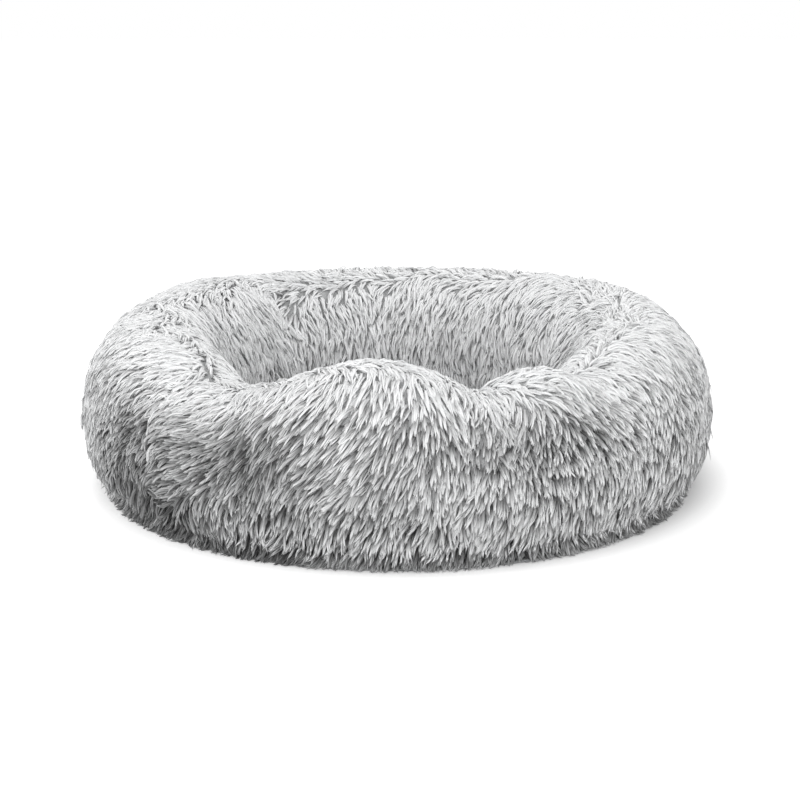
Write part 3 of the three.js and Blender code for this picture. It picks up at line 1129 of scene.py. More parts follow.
@dataclass(frozen=True)
class RingSection:
    """Section of the stuffed ring under its fur, and what use has done to it."""

    outer_radius: float = 0.500
    well_radius: float = 0.260
    rim_height: float = 0.275
    widest_height: float = 0.120
    fur_thickness: float = 0.015
    crown_power: float = 2.15
    inner_corner: float = 0.026
    outer_corner: float = 0.008
    floor: float = 0.002
    wall: float = 0.4496
    band_top: float = 0.037
    tuck_depth: float = 0.068
    front_hem: float = 0.0045
    well_seam: float = 0.0886
    sinks: tuple[Patch, ...] = (
        Patch(-39, 17, 0.15), Patch(-6, 12, -0.06), Patch(19, 9, 0.12), Patch(44, 9, 0.10),
        Patch(72, 12, -0.01), Patch(118, 20, -0.045), Patch(150, 16, -0.01),
        Patch(-120, 22, -0.045),
    )
    creases: tuple[Patch, ...] = (Patch(115, 6, 0.07), Patch(-137, 6, 0.07))
    leans: tuple[Patch, ...] = (
        Patch(-70, 18, 0.05), Patch(0, 22, 0.05), Patch(98, 7, -0.06), Patch(152, 22, 0.08),
        Patch(-137, 6, -0.07), Patch(-165, 12, 0.03),
    )

    @property
    def out(self) -> float:
        """The ring's outer radius under the fur."""
        return self.outer_radius - self.fur_thickness

    @property
    def inside(self) -> float:
        """The ring's inner radius under the fur."""
        return self.well_radius + self.fur_thickness

    @property
    def middle(self) -> float:
        """The radius of the ring's middle line."""
        return (self.out + self.inside) / 2

    @property
    def half(self) -> float:
        """Half of the ring's width."""
        return (self.out - self.inside) / 2

    @property
    def top(self) -> float:
        """The crest's height under the fur."""
        return self.rim_height - self.fur_thickness

    def crown(self, side: int) -> Array:
        """Shapes half of the crown, from its widest or narrowest place up to the crest.

        Args:
            side: 1 for the outer half or -1 for the inner one.

        Returns:
            Its points.
        """
        turn = np.linspace(0.0, math.pi / 2, 81)
        across = np.cos(turn) ** (2 / self.crown_power)
        rise = np.sin(turn) ** (2 / self.crown_power)
        up = self.widest_height + (self.top - self.widest_height) * rise
        return np.stack([self.middle + side * self.half * across, up], axis=1)

    def tuck(self) -> Array:
        """Shapes the wall's curve from the top of the band out to the widest height.

        Returns:
            Its points.
        """
        share = np.linspace(0.0, 1.0, 41)[:, None]
        low = np.array([self.wall, self.band_top])
        bend = np.array([self.out, self.widest_height - self.tuck_depth])
        high = np.array([self.out, self.widest_height])
        return (1 - share) ** 2 * low + 2 * share * (1 - share) * bend + share**2 * high

    def stretches(self) -> dict[str, Array]:
        """Sets out the section, from the front hem up over the crest and back under the ring.

        Returns:
            Its stretches, by what lies at their starts.
        """
        corner = self.floor + self.outer_corner
        hem = math.degrees(math.asin((self.front_hem - corner) / self.outer_corner))
        edge = (self.wall - self.outer_corner, corner)
        foot = self.floor + self.inner_corner
        inner = (self.inside + self.inner_corner, foot)
        return {
            "front_hem": arc(edge, self.outer_corner, hem, 0),
            "band": np.array([[self.wall, corner], [self.wall, self.band_top]]),
            "back_hem": self.tuck(),
            "widest": self.crown(1),
            "crest": self.crown(-1)[::-1],
            "narrowest": np.array([[self.inside, self.widest_height], [self.inside, self.well_seam]]),
            "well_seam": np.array([[self.inside, self.well_seam], [self.inside, foot]]),
            "inner_corner": arc(inner, self.inner_corner, 180, 270),
            "underside": np.array([[inner[0], self.floor], [edge[0], self.floor]]),
            "edge": arc(edge, self.outer_corner, -90, hem),
        }

    def stations(self, step: float) -> tuple[Array, dict[str, int]]:
        """Puts even steps along the section.

        Args:
            step: the distance between two points.

        Returns:
            Its points, and the row where each stretch starts.
        """
        rows, points = {}, []
        for name, line in self.stretches().items():
            rows[name] = len(points)
            points.extend(resampled(line, step)[:-1])
        return np.array(points), rows

    def settled(self, points: Array, angles: Array) -> Array:
        """Sinks and leans the crown where use has pressed it.

        Args:
            points: the section's points.
            angles: angles round the bed, in radians.

        Returns:
            Places by row and column.
        """
        degrees = np.degrees(angles)
        r, z = points[:, :1], points[:, 1:]
        share = eased(z, self.widest_height, self.top)
        inwards = np.clip((self.middle - r) / self.half, 0, 1)
        sink, crease, lean = (
            sum(patch.at(degrees) for patch in patches)
            for patches in (self.sinks, self.creases, self.leans)
        )
        lean = lean * (self.outer_radius - self.well_radius)
        sink = sink + inwards * crease
        return turned(r - lean * inwards * share, z - sink * self.rim_height * share, angles)


@dataclass(frozen=True)
class Strip:
    """One of the two strips of fur cloth, which meet at the bed's left and right sides.

    Attributes:
        name: front or back.
        middle: the angle of its middle, in degrees.
        drop: how far its pile hangs out from the wall.
        skirted: whether its pile hangs over the hem, or stops there to keep the zip free.
        tuft_seed: the number that sets where its tufts stand.
        strand_seed: the number that sets how its strands lie, counted up by sector.
    """

    name: str
    middle: float
    drop: float
    skirted: bool
    tuft_seed: int
    strand_seed: int


@dataclass(frozen=True)
class Groom:
    """How the pile lies on the ring.

    Lifts are in degrees, and strokes brush the pile sideways. The wide and the fine drift have a
    seed, a shortest and a longest wave. Twists and spreads are those of normal draws.
    """

    pile: Pile = Pile()
    loose: tuple[float, float] = (0.32, 0.4)
    length: float = 0.047
    crest_length: float = 0.041
    lengths: tuple[float, float] = (0.82, 1.14)
    wide: tuple[int, float, float] = (21, 0.09, 0.30)
    fine: tuple[int, float, float] = (22, 0.030, 0.08)
    fringe_length: float = 0.22
    fringe_middle: float = 0.055
    fringe_spread: float = 0.035
    hem_length: float = 0.72
    hem_reach: float = 0.030
    hem_middle: float = 0.028
    hem_spread: float = 0.045
    hem_hang: float = 0.005
    back_hem_length: float = 0.009
    back_hem_level: float = 0.033
    back_hem_ragged: float = 0.006
    heights: tuple[float, float] = (0.001, 0.010)
    lift: float = 38.0
    crest_lift: float = 53.0
    lift_spread: float = 0.12
    parting: float = 0.022
    parting_drift: float = 0.017
    parting_width: float = 0.032
    least_fall: float = 0.12
    sway: tuple[float, float] = (0.18, 0.12)
    twist: float = 0.11
    crest_turn: float = 0.9
    crest_sway: float = 0.2
    crest_twist: float = 0.45
    crest_reach: float = 0.034
    crest_along: float = 0.0085
    inner_along: float = 0.0124
    crest_flat: float = 0.4
    shade: float = 0.15
    # Painted light: the pile is made paler where its skin faces up, most on the crest.
    crest_painted_light: float = 0.76
    crest_light_levels: tuple[float, float] = (0.45, 1.0)
    # Painted light: the pile beyond the parting, on the inner wall, is made paler.
    inner_painted_light: float = 0.62
    shade_drift: float = 0.05
    shade_spread: float = 0.11
    # Painted shade: the pile is darker where its tips end near the floor, fading out between the two
    # foot heights.
    foot_painted_shade: float = 0.62
    foot_shade_levels: tuple[float, float] = (0.001, 0.020)
    patchy: float = 0.06
    least_tone: float = 0.42
    # Painted shade: patches of the outer wall whose pile tips are darkened, low at the front left and on
    # the front wall's upper left and shoulders.
    painted_shades: tuple[Patch, ...] = (
        Patch(-48, 15, 0.50, 0.070, 0.08), Patch(-28, 12, 0.30, 0.020, 0.045),
        Patch(-20, 12, 0.26, 0.170, 0.06), Patch(-37, 12, 0.36, 0.210, 0.05),
        Patch(20, 9, 0.36, 0.215, 0.05),
    )
    # Painted light: patches of the outer wall whose pile is made paler, in the middle of the front wall
    # and on the left and right sides.
    painted_lights: tuple[Patch, ...] = (
        Patch(0, 11, 0.30, 0.155, 0.06), Patch(-88, 22, 0.38, 0.170, 0.15),
        Patch(88, 22, 0.30, 0.170, 0.15),
    )
    strokes: tuple[Patch, ...] = (
        Patch(-3, 15, -0.55, 0.14, 0.20), Patch(-22, 10, -0.35, 0.14, 0.20),
        Patch(-34, 8, -1.9, 0.165, 0.045), Patch(-58, 15, -0.85, 0.15, 0.15),
        Patch(40, 11, 0.24, 0.16, 0.15), Patch(64, 14, 0.20, 0.15, 0.15),
        Patch(128, 20, -0.35, 0.15, 0.12), Patch(-150, 22, 0.4, 0.14, 0.12),
    )
    whorl: Patch = Patch(-37, 7, 1.5, 0.085, 0.040)
    whorl_turn: float = 1.6
    wave_drift: float = 3.0
    wave_spread: float = 0.9

    def tufts(self, skin: Skin, rows: dict[str, int], strip: Strip) -> Tufts:
        """Sets out the tufts of one strip.

        Args:
            skin: the ring's skin.
            rows: the row where each stretch of its section starts.
            strip: the strip.

        Returns:
            The tufts.
        """
        draw = np.random.default_rng(strip.tuft_seed)
        first, crest, last = (
            skin.lengths[rows[name]] for name in (f"{strip.name}_hem", "crest", "well_seam")
        )
        near = crest + self.parting - self.crest_reach
        far = crest + self.parting + self.crest_reach
        lines = np.concatenate([
            np.arange(first + self.pile.along / 3, near, self.pile.along),
            np.arange(near, far, self.crest_along),
            np.arange(far, last, self.inner_along),
        ])
        radii = np.interp(lines, skin.lengths, skin.line[:, 0])
        along, shares = self.pile.spots(lines, radii, math.pi, self.loose, draw)
        turn = (shares - 0.5) * math.pi + math.radians(strip.middle)
        along = np.clip(along, first + 0.001, last - 0.001)
        root, out, down_in, around = skin.at(skin.rows(along), turn)
        degrees, height = np.degrees(turn), root[:, 2]

        # A shift of a few metres reads a part of the fields that nothing else reads.
        wide, fine = Drift(*self.wide), Drift(*self.fine)
        parting = crest + self.parting + self.parting_drift * wide.at(along, turn + 1.0)
        outer = along < parting
        fall = np.abs(np.tanh((along - parting) / self.parting_width))
        fallen = np.where(outer, -1.0, 1.0) * np.maximum(fall, self.least_fall)
        loose = 1 - fall
        sideways = self.sway[0] * wide.at(along, turn) + self.sway[1] * fine.at(along, turn)
        for stroke in self.strokes:
            sideways = sideways + outer * stroke.at(degrees, height) * (1 - loose)
        round_it = away(degrees, self.whorl.angle) / self.whorl.spread
        up_it = (height - self.whorl.height) / self.whorl.reach
        spin = self.whorl.share * np.exp(-(round_it**2) - up_it**2) * outer
        sideways = sideways - spin * up_it * self.whorl_turn
        fallen = fallen - spin * round_it * self.whorl_turn
        sideways = sideways + loose * (self.crest_turn + self.crest_sway * fine.at(along + 3.0, turn))
        flow = unit(down_in * fallen[:, None] + around * sideways[:, None])
        twist = draw.normal(0, self.twist, len(turn))
        twist = twist + loose * draw.normal(0, self.crest_twist, len(turn))
        side = np.cross(out, flow)
        flow = flow * np.cos(twist)[:, None] + side * np.sin(twist)[:, None]

        length = self.length + (self.crest_length - self.length) * loose
        hem = eased(along, first, first + self.hem_reach)
        length = length * (self.hem_length + (1 - self.hem_length) * hem)
        fringe = np.exp(-(((along - first - self.fringe_middle) / self.fringe_spread) ** 2))
        length = length * (1 + self.fringe_length * fringe)
        length = length * draw.uniform(*self.lengths, len(turn))
        lift = np.radians(self.lift + (self.crest_lift - self.lift) * loose)
        lift = lift + draw.normal(0, self.lift_spread, len(turn))
        if not strip.skirted:
            length = np.minimum(length, (along - first) / self.pile.lie + self.back_hem_length)
        tip = self.tips(skin, strip, first, along, turn, length, flow, draw)
        if not strip.skirted:
            level = self.back_hem_level + draw.uniform(0.0, self.back_hem_ragged, len(turn))
            tip[:, 2] = np.maximum(tip[:, 2], level)

        # Painted light: paler where the skin faces up.
        shade = self.shade + self.crest_painted_light * eased(out[:, 2], *self.crest_light_levels)
        # Painted light: paler beyond the parting.
        shade = shade + self.inner_painted_light * eased(along - parting, -0.01, 0.03)
        shade = shade + self.shade_drift * wide.at(along + 7.0, turn)
        shade = shade + draw.normal(0, self.shade_spread, len(turn))
        # Painted shade: tips near the floor come out darker.
        tone = self.foot_painted_shade + (1 - self.foot_painted_shade) * eased(tip[:, 2], *self.foot_shade_levels)
        tone = tone - self.patchy * np.maximum(wide.at(along + 15.0, turn), 0.0)
        # Painted shade: these patches darken the tips on the outer side.
        for dull in self.painted_shades:
            tone = tone - dull.at(degrees, height) * outer
        # Painted light: these patches make the pile on the outer side paler.
        for pale in self.painted_lights:
            shade = shade + pale.at(degrees, height) * outer
        tone = np.clip(tone, self.least_tone, 1.0)
        wave = self.wave_drift * fine.at(along + 11.0, turn)
        wave = wave + draw.normal(0, self.wave_spread, len(turn))
        return Tufts(root, out, flow, tip, length, lift, shade, tone, wave, turn)

    def tips(
        self, skin: Skin, strip: Strip, first: float, along: Array, turn: Array,
        length: Array, flow: Array, draw: np.random.Generator,
    ) -> Array:
        """Works out where tufts end: over the skin that lies ahead of them, or hanging from it.

        Args:
            skin: the ring's skin.
            strip: the strip.
            first: its hem's distance along the section.
            along: the tufts' distances along the section.
            turn: their angles round the bed, in radians.
            length: their lengths.
            flow: the directions in which they lie.
            draw: the source of random numbers.

        Returns:
            The ends.
        """
        root, _, down_in, around = skin.at(skin.rows(along), turn)
        reach = length * self.pile.lie
        ahead = along + reach * (flow * down_in).sum(1)
        radius = np.hypot(root[:, 0], root[:, 1])
        beside = turn + reach * (flow * around).sum(1) / np.maximum(radius, 0.05)
        least = first + 0.004
        low = np.maximum(least - ahead, 0.0)
        place, out, _, _ = skin.at(skin.rows(np.maximum(ahead, least)), beside)
        height = draw.uniform(*self.heights, len(turn))
        height = height * (1 - self.crest_flat * eased(out[:, 2], 0.5, 1.0))
        hang = np.exp(-(((ahead - first - self.hem_middle) / self.hem_spread) ** 2))
        room = radius + self.hem_hang - np.hypot(place[:, 0], place[:, 1])
        drop = np.minimum(hang * strip.drop, np.maximum(room, 0.0))
        return place + out * (height + drop + 0.3 * low)[:, None]


@dataclass
class Ring(Pillowed):
    """The stuffed ring with its casing and its fur cover."""

    section: RingSection = RingSection()
    groom: Groom = Groom()
    strips: tuple[Strip, ...] = (
        Strip("front", 0.0, 0.021, True, 11, 100), Strip("back", 180.0, 0.008, False, 12, 200),
    )
    columns: int = 216
    casing_radius: float = 0.385
    sectors: int = 5

    def build(self) -> None:
        """Makes and dresses the ring's pieces."""
        line, rows = self.section.stations(self.step)
        cover = Cover("ring_form", line, self.columns, True)
        cover.shape(self.section.settled(line, cover.angles))
        r, z = line.T
        well_side = (z <= self.section.well_seam + 1e-6) & (r < self.section.middle)
        held = np.flatnonzero(well_side | (z <= self.section.band_top + 1e-6))
        skin = cover.fill(Stuffing(pressure=4.0, slack=0.035), held)
        for strip in self.strips:
            self.add_backing(strip, cover, skin, rows)
        narrow, wide = rows["narrowest"], rows["widest"]
        spans = [(wide, narrow), (narrow, len(line) + wide)]
        around = math.tau * self.casing_radius
        sizes = [{"flat": ((high - low) * self.step, around)} for low, high in spans]
        self.add_pillow("ring", cover, skin, spans, sizes, self.gap, 0.7)
        for strip in self.strips:
            self.add_pile(strip, skin, rows)
        bpy.data.objects.remove(cover.body)

    def add_backing(self, strip: Strip, cover: Cover, skin: Skin, rows: dict[str, int]) -> None:
        """Adds one strip of fur backing.

        Args:
            strip: the strip.
            cover: the cover that it is cut from.
            skin: its skin once it is filled.
            rows: the row where each stretch of the section starts.
        """
        span = (rows[f"{strip.name}_hem"], rows["well_seam"])
        name = f"ring_cover_{strip.name}"
        made = cover.layer(name, skin.points, span, strip.middle, 90.0, self.skin_depth)
        self.dress(made, "backing", "fur", f"ring_fur_{strip.name}")

    def add_pile(self, strip: Strip, skin: Skin, rows: dict[str, int]) -> None:
        """Adds the pile of one strip, in sectors.

        Args:
            strip: the strip.
            skin: the ring's skin.
            rows: the row where each stretch of the section starts.
        """
        tufts = self.groom.tufts(skin, rows, strip)
        place = (away(np.degrees(tufts.turn), strip.middle) + 90) // (180.0 / self.sectors)
        place = np.clip(place, 0, self.sectors - 1)
        for sector in range(self.sectors):
            name = f"ring_pile_{strip.name}_{sector + 1}"
            chosen = tufts.chosen(place == sector)
            self.dress(self.groom.pile.grow(name, chosen, strip.strand_seed + sector), "pile", "fur")


# The centre cushion


@dataclass
class CentreCushion(Pillowed):
    """The flat cushion in the well, with its fur panel."""

    pile: Pile = Pile(across=0.0084, along=0.0128)
    loose: tuple[float, float] = (0.38, 0.5)
    rim: float = 0.2747
    side: float = 0.034
    low: float = 0.0023
    edge: float = 0.073
    crown: float = 0.017
    side_power: float = 2.6
    columns: int = 120
    length: float = 0.042
    lengths: tuple[float, float] = (0.8, 1.1)
    lift: float = 42.0
    lift_spread: float = 0.12
    heights: tuple[float, float] = (0.003, 0.012)
    heading: float = -1.2
    heading_drift: float = 1.1
    heading_spread: float = 0.18
    drift: tuple[int, float, float] = (32, 0.12, 0.40)
    wave_drift: float = 2.5
    wave_spread: float = 0.9
    shade: float = 0.6
    shade_spread: float = 0.12
    tuft_seed: int = 31
    strand_seed: int = 33

    def section(self) -> tuple[Array, int]:
        """Sets out the cushion's section from the axis at the top to the axis at the bottom.

        Returns:
            Its points, and the row where the panel ends.
        """
        flat = self.rim - self.side
        top = np.linspace(0, flat, 41)
        crown = np.stack([top, self.edge + self.crown * (1 - (top / flat) ** 2)], axis=1)
        turn = np.linspace(math.pi / 2, -math.pi / 2, 61)
        half = (self.edge - self.low) / 2
        across = np.cos(turn) ** (2 / self.side_power)
        rise = np.sign(np.sin(turn)) * np.abs(np.sin(turn)) ** (2 / self.side_power)
        side = np.stack([flat + self.side * across, self.low + half + half * rise], axis=1)
        bottom = np.array([[flat, self.low], [0.0, self.low]])
        first = resampled(crown, self.step)
        points = [*first[:-1], *resampled(side, self.step)[:-1], *resampled(bottom, self.step)]
        return np.array(points), len(first) - 1

    def build(self) -> None:
        """Makes and dresses the cushion's pieces."""
        line, seam = self.section()
        cover = Cover("centre_form", line, self.columns, False)
        skin = cover.fill(Stuffing(pressure=3.0, slack=0.02), np.arange(seam, len(line)))
        widest = int(np.argmax(line[:, 0]))
        across = 2 * (self.rim + self.side / 3)
        size = {"flat": (across, across), "area": math.pi * across**2 / 4}
        spans = [(0, widest), (widest, len(line) - 1)]
        self.add_pillow("centre", cover, skin, spans, [size, size], 0.0, 0.5)
        self.add_panel(skin.points[:seam + 1])
        bpy.data.objects.remove(cover.body)

    def add_panel(self, top: Array) -> None:
        """Adds the fur panel over the cushion, out to the ring's wall, and its pile.

        Args:
            top: the filled cushion's points, from its middle out to its seam.
        """
        radii = np.hypot(top[:, :, 0], top[:, :, 1]).mean(1)
        line = np.stack([radii, top[:, :, 2].mean(1) + self.gap], axis=1)
        line[0, 0] = 0.0
        ledge = np.array([line[-1], [self.rim, line[-1, 1]]])
        outer = resampled(ledge, self.step)[1:]
        whole = np.concatenate([line, outer])
        panel = Cover("centre_cover_panel", whole, self.columns, False)
        rim = turned(outer[:, :1], outer[:, 1:], panel.angles)
        points = np.concatenate([top + (0, 0, self.gap), rim])
        panel.shape(points)
        thicken(panel.body, self.skin_depth, upward(panel.body))
        self.dress(panel.body, "backing", "fur", "centre_fur_panel")
        self.add_pile(Skin(whole, points, False))

    def add_pile(self, skin: Skin) -> None:
        """Adds the panel's pile, pressed flat in drifting directions.

        Args:
            skin: the panel's skin.
        """
        draw, step = np.random.default_rng(self.tuft_seed), self.pile.along
        lines = np.arange(step / 2, self.rim - 0.004, step)
        radius, shares = self.pile.spots(lines, lines, math.tau, self.loose, draw)
        radius, turn = np.clip(radius, 0.004, self.rim - 0.002), shares * math.tau
        rows = np.interp(radius, skin.line[:, 0], np.arange(len(skin.line)))
        root, _, _, _ = skin.at(rows, turn)
        _, out, _, _ = skin.at(np.maximum(rows, 2.5), turn)
        drift = Drift(*self.drift)
        x, y = root[:, 0], root[:, 1] / drift.radius
        heading = self.heading_drift * drift.at(x, y) + self.heading
        heading = heading + draw.normal(0, self.heading_spread, len(turn))
        flow = np.stack([np.cos(heading), np.sin(heading), 0 * heading], axis=1)
        flow = unit(flow - out * (flow * out).sum(1)[:, None])
        length = self.length * draw.uniform(*self.lengths, len(turn))
        lift = np.radians(self.lift) + draw.normal(0, self.lift_spread, len(turn))
        tip = root + flow * length[:, None] * self.pile.lie
        far = np.hypot(tip[:, 0], tip[:, 1])[:, None]
        tip[:, :2] *= np.minimum(1.0, (self.rim - 0.002) / far)
        tip = tip + out * draw.uniform(*self.heights, len(turn))[:, None]
        shade = self.shade + draw.normal(0, self.shade_spread, len(turn))
        wave = self.wave_drift * drift.at(2 * x + 9.0, 2 * y)
        wave = wave + draw.normal(0, self.wave_spread, len(turn))
        tufts = Tufts(root, out, flow, tip, length, lift, shade, np.ones(len(turn)), wave, turn)
        self.dress(self.pile.grow("centre_pile", tufts, self.strand_seed), "pile", "fur")


# The base


@dataclass
class Base(SubAssembly):
    """The woven base with its grip dots, its stitching and its binding."""

    columns: int = 192
    cloth: float = 0.0013
    rings: int = 14
    dot_spacing: float = 0.026
    dot_radius: float = 0.0028
    dot_height: float = 0.0007
    stitch_inset: float = 0.0042
    stitch_step: float = 0.0045
    stitch_length: float = 0.0033
    stitch_width: float = 0.0006
    binding_wall: float = 0.0014
    binding_lip: float = 0.0068
    turned_edge: float = 0.0004
    radius: float = field(init=False)
    top: float = field(init=False)

    def __post_init__(self) -> None:
        """Reads the base's size off its solid."""
        self.radius, _, self.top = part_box("base_cloth")[1]

    def build(self) -> None:
        """Makes and dresses the base's pieces."""
        rows = np.linspace(0.0, self.radius, self.rings)
        line = np.stack([rows, 0 * rows + self.top], axis=1)
        sheet = mesh_object("base_sheet", spun(line, self.columns, False))
        thicken(sheet, self.cloth, -upward(sheet))
        self.dress(sheet, "base", "base_cloth", "base_cloth")
        self.add_dots()
        self.add_stitches()
        self.add_binding()

    def add_dots(self) -> None:
        """Adds the raised rubber dots that grip the floor."""
        rise = self.dot_spacing * math.sqrt(3) / 2
        reach = self.radius - 3 * self.dot_radius
        lines, count = int(reach / rise), int(reach / self.dot_spacing) + 1
        spots = [
            (number * self.dot_spacing + self.dot_spacing / 2 * (line % 2), line * rise)
            for line in range(-lines, lines + 1) for number in range(-count, count + 1)
        ]
        places = [
            Matrix.Translation((x, y, self.dot_height)) for x, y in spots
            if math.hypot(x, y) < reach - self.stitch_inset
        ]
        size = (self.dot_radius, self.dot_radius, self.dot_height)
        self.dress(beads("base_grip_dots", places, size), "rubber", "base_cloth")

    def add_stitches(self) -> None:
        """Adds the row of stitches that holds the base in its binding."""
        radius = self.radius - self.stitch_inset
        count = round(math.tau * radius / self.stitch_step)
        place = Matrix.Translation((radius, 0, self.dot_height))
        turns = [number / count * math.tau for number in range(count)]
        places = [Matrix.Rotation(turn, 4, "Z") @ place for turn in turns]
        size = (self.stitch_width / 2, self.stitch_length / 2, self.stitch_width / 2)
        self.dress(beads("base_stitching", places, size), "thread", "binding")

    def add_binding(self) -> None:
        """Adds the tape that is folded over the base's edge."""
        low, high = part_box("base_binding")
        out, wall = high.x, self.binding_wall
        inner = out - wall - self.binding_lip
        line = np.array([
            [out - wall, low.z], [out, low.z], [out, high.z], [inner, high.z],
            [inner, high.z - wall], [out - wall, high.z - wall],
        ])
        shape = spun(line, self.columns, True)
        round_edges(shape, 40, self.turned_edge)
        self.dress(mesh_object("base_edge_binding", shape), "binding", "binding", "base_binding")


# The zip


@dataclass
class Zip(SubAssembly):
    """The zip in the back of the base seam: two tapes, two coils, stops, slider and pull.

    Attributes:
        ends: the angles where the coils start and end, in degrees.
        depths: the least and the greatest radius of the coils.
        levels: the least and the greatest height of the upper coil.
        middle: the height of the line between the coils.
    """

    pitch: float = 0.0021
    thread: float = 0.00034
    turn_steps: int = 6
    edge: float = 0.00018
    tape_gap: float = 0.0003
    bodies: tuple[tuple[str, str], ...] = (
        ("zip_top_stop_upper", BED), ("zip_top_stop_lower", BED), ("zip_bottom_stop", BED),
        ("zip_slider", "slider"), ("zip_pull", "pull"),
    )
    ends: tuple[float, float] = field(init=False)
    depths: tuple[float, float] = field(init=False)
    levels: tuple[float, float] = field(init=False)
    middle: float = field(init=False)

    def __post_init__(self) -> None:
        """Reads the zip's place off its solids."""
        low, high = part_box("zip_coil_upper")
        found = coordinates(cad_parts["zip_coil_upper"].data)
        start = float((np.degrees(np.arctan2(found[:, 0], -found[:, 1])) % 360).min())
        self.ends = (start, 360.0 - start)
        self.depths = (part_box("zip_tape_upper")[1].y + self.tape_gap, high.y)
        self.levels = (low.z, high.z)
        self.middle = (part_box("zip_coil_lower")[1].z + low.z) / 2

    def build(self) -> None:
        """Makes and dresses the zip's pieces."""
        for node in ("zip_tape_upper", "zip_tape_lower", "zip_end_patch_right", "zip_end_patch_left"):
            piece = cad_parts[node]
            piece.data.materials.clear()
            piece.data.materials.append(self.finishes["tape"])
            log.info("%s: kept with a woven finish", node)
        self.add_coil("upper", 1.0)
        self.add_coil("lower", -1.0)
        for node, body in self.bodies:
            self.add_metal(node, body)

    def add_coil(self, name: str, side: float) -> None:
        """Adds one nylon coil, wound as one thread along its tape's edge.

        Args:
            name: upper or lower.
            side: 1 above the zip's middle line or -1 below it.
        """
        (start, end), (near, far), (low, high) = self.ends, self.depths, self.levels
        radius = (near + far) / 2
        steps = int(math.radians(end - start) * radius / self.pitch) * self.turn_steps
        angle = np.radians(start + (end - start) * (np.arange(steps + 1) / steps))
        spot = np.arange(steps + 1) / self.turn_steps * math.tau
        across = radius + ((far - near) / 2 - self.thread) * np.sin(spot)
        rise = (high + low) / 2 - self.middle + ((high - low) / 2 - self.thread) * np.cos(spot)
        path = turned(across, self.middle + side * rise, angle)
        curve = bpy.data.curves.new(f"zip_teeth_{name}", "CURVE")
        curve.dimensions = "3D"
        curve.bevel_depth, curve.bevel_resolution = self.thread, 0
        curve.use_fill_caps = True
        spline = curve.splines.new("POLY")
        spline.points.add(len(path) - 1)
        spline.points.foreach_set("co", np.c_[path, np.ones(len(path))].ravel())
        drawn = linked(f"zip_curve_{name}", curve)
        graph = bpy.context.evaluated_depsgraph_get()
        mesh = bpy.data.meshes.new_from_object(drawn.evaluated_get(graph), depsgraph=graph)
        bpy.data.objects.remove(drawn)
        mesh.name = f"zip_teeth_{name}"
        mesh.polygons.foreach_set("use_smooth", np.ones(len(mesh.polygons), bool))
        self.dress(linked(f"zip_teeth_{name}", mesh), "nylon", "zip_coil", f"zip_coil_{name}")

    def add_metal(self, node: str, body: str) -> None:
        """Adds a die-cast piece: the solid with its edges rounded.

        Args:
            node: the solid's name.
            body: the body that it moves with.
        """
        shape = bmesh.new()
        shape.from_mesh(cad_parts[node].data)
        bmesh.ops.remove_doubles(shape, verts=shape.verts[:], dist=1e-6)
        bmesh.ops.dissolve_limit(shape, angle_limit=math.radians(1), verts=shape.verts[:],
                                 edges=shape.edges[:], use_dissolve_boundaries=False)
        round_edges(shape, 30, self.edge)
        bmesh.ops.triangulate(shape, faces=shape.faces[:])
        made = mesh_object(f"{node}_cast", shape, smooth=False)
        self.dress(made, "nickel", "zip_metal", node, body=body)


# The studio


def face(thing: Object, target: Vector) -> None:
    """Turns a lamp or a camera towards a point."""
    thing.rotation_mode = "QUATERNION"
    thing.rotation_quaternion = (target - thing.location).to_track_quat("-Z", "Y")


@dataclass(frozen=True)
class Lamp:
    """A square soft lamp, with its side in metres and its power in watts."""

    name: str
    place: tuple[float, float, float]
    side: float
    power: float

    def add(self, target: Vector) -> None:
        """Adds the lamp.

        Args:
            target: the point that it faces.
        """
        light = bpy.data.lights.new(self.name, "AREA")
        light.shape, light.size, light.energy = "SQUARE", self.side, self.power
        lamp = linked(self.name, light)
        lamp.location = self.place
        face(lamp, target)


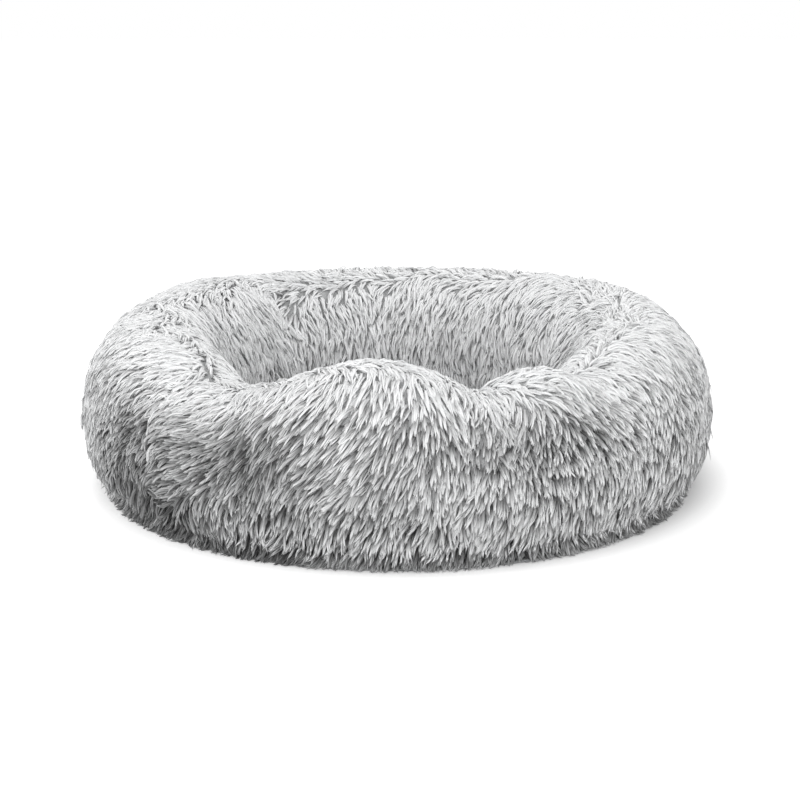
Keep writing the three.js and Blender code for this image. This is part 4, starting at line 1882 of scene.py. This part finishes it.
@dataclass
class Studio:
    """A plain pale floor, soft light and a camera where the photograph's was.

    The camera's elevation is in degrees, and its picture, focal length and aim are in pixels.
    """

    elevation: float = 14.8
    distance: float = 3.13
    target_height: float = 0.1375
    picture: float = 800.0
    focal: float = 1940.0
    aim: tuple[float, float] = (2.5, -6.2)
    sensor: float = 36.0
    floor_size: float = 9.0
    floor_bounce: float = 0.50
    floor_white: float = 0.78
    # Painted light: the floor's lift is emission that grows over the shadow reach round the shadow's
    # middle.
    floor_lift: float = 0.49
    shadow_reach: tuple[float, float] = (0.43, 0.57)
    shadow_middle: tuple[float, float] = (0.03, 0.05)
    world_light: float = 0.66
    lamps: tuple[Lamp, ...] = (
        Lamp("key", (-0.7, 0.5, 3.0), 0.9, 6.0),
        Lamp("front", (-0.3, -3.3, 1.4), 2.4, 76.0),
        Lamp("back", (0.0, 3.3, 1.6), 2.4, 46.0),
        Lamp("left", (-3.3, -0.3, 1.4), 2.4, 34.0),
        Lamp("right", (3.3, -0.3, 1.4), 2.4, 34.0),
    )

    def build(self) -> None:
        """Makes the floor, the lamps, the world and the camera."""
        bpy.context.scene.view_settings.view_transform = "Standard"
        target = Vector((0.0, 0.0, self.target_height))
        self.add_floor()
        self.add_world()
        for lamp in self.lamps:
            lamp.add(target)
        self.add_camera(target)

    def add_floor(self) -> None:
        """Adds the floor, which the camera sees as white and which keeps the bed's shadow."""
        shape = bmesh.new()
        bmesh.ops.create_grid(shape, x_segments=2, y_segments=2, size=self.floor_size)
        floor = mesh_object("floor", shape, smooth=False)
        nodes = Nodes(bpy.data.materials.new("floor"))
        nodes.tree.nodes.clear()
        x, y, _ = nodes.split(nodes.place())
        # Painted light: camera, glossy and transmission rays see an emission lift that grows from the
        # near to the clear reach round the shadow's middle, so the bed's shadow shows only close to it.
        squares = []
        for part, middle in zip((x, y), self.shadow_middle):
            offset = nodes.maths("SUBTRACT", part, middle)
            squares.append(nodes.maths("MULTIPLY", offset, offset))
        far = nodes.maths("SQRT", nodes.maths("ADD", *squares))
        near, clear = self.shadow_reach
        reach = {"Value": far, "From Min": near, "From Max": clear, "To Max": self.floor_lift}
        lift = nodes.result("MapRange", reach, interpolation_type="SMOOTHSTEP")
        white, dull = (
            nodes.result("BsdfDiffuse", {"Color": (*grey(tone), 1)})
            for tone in (self.floor_white, self.floor_bounce)
        )
        lit = nodes.result("AddShader", {0: nodes.result("Emission", {"Strength": lift}), 1: white})
        seen = nodes.rays("Is Camera Ray", "Is Glossy Ray", "Is Transmission Ray")
        both = nodes.result("MixShader", {0: seen, 1: dull, 2: lit})
        nodes.add("OutputMaterial", {"Surface": both})
        floor.data.materials.append(nodes.owner)

    def add_world(self) -> None:
        """Adds a world that is white to look at and lights softly."""
        world = bpy.data.worlds.new("studio")
        bpy.context.scene.world = world
        nodes = Nodes(world, "BACKGROUND")
        strength = nodes.spread(nodes.rays("Is Camera Ray", "Is Glossy Ray"), self.world_light, 1.0)
        nodes.feed(nodes.end, {"Strength": strength, "Color": (1, 1, 1, 1)})

    def add_camera(self, target: Vector) -> None:
        """Adds the camera at the photograph's angle.

        Args:
            target: the point that it is turned round.
        """
        data = bpy.data.cameras.new("camera")
        data.sensor_width = self.sensor
        data.lens = self.focal / self.picture * self.sensor
        data.clip_end = 100.0
        camera = linked("camera", data)
        rise, level = math.sin(math.radians(self.elevation)), math.cos(math.radians(self.elevation))
        camera.location = target + Vector((0.0, -level, rise)) * self.distance
        metre = self.distance / self.focal
        right, up = self.aim
        face(camera, target + Vector((right * metre, 0, 0)) + Vector((0.0, rise, level)) * up * metre)
        bpy.context.scene.camera = camera


def finishes() -> dict[str, Material]:
    """Makes every material of the bed.

    Returns:
        The materials by name.
    """
    found = {
        "pile": PileFinish(),
        "backing": BackingFinish(),
        "liner": WovenFinish("liner_cloth", (0.78, 0.77, 0.74), 0.0012, Lay.ROUND, contrast=0.08),
        "fibre": FibreFinish(),
        "base": WovenFinish("base_weave", grey(0.24, 0.04), 0.0016, Lay.FLAT),
        "rubber": SolidFinish("grip_rubber", grey(0.13, 0.03), 0.55, grain=1500.0),
        "thread": SolidFinish("sewing_thread", grey(0.5, 0.02), 0.7, grain=3000.0),
        "binding": WovenFinish("binding_tape", grey(0.36, 0.03), 0.0010, Lay.ROUND, 0.457, 1.0),
        "tape": WovenFinish("zip_tape", grey(0.42, 0.02), 0.0009, Lay.ROUND, 0.453, 1.0),
        "nylon": SolidFinish("coil_nylon", grey(0.40, 0.02), 0.42),
        "nickel": SolidFinish("nickel", (0.46, 0.47, 0.49), 0.40, 1.0, 2500.0),
    }
    return {name: finish.material() for name, finish in found.items()}


def main() -> None:
    """Builds the studio, and then the bed's sub-assemblies in order."""
    logging.basicConfig(level=logging.INFO, format="%(name)s: %(message)s")
    made = finishes()
    Studio().build()
    for sub_assembly in (Base, Zip, CentreCushion, Ring):
        sub_assembly(made).build()


if __name__ == "__main__":
    main()
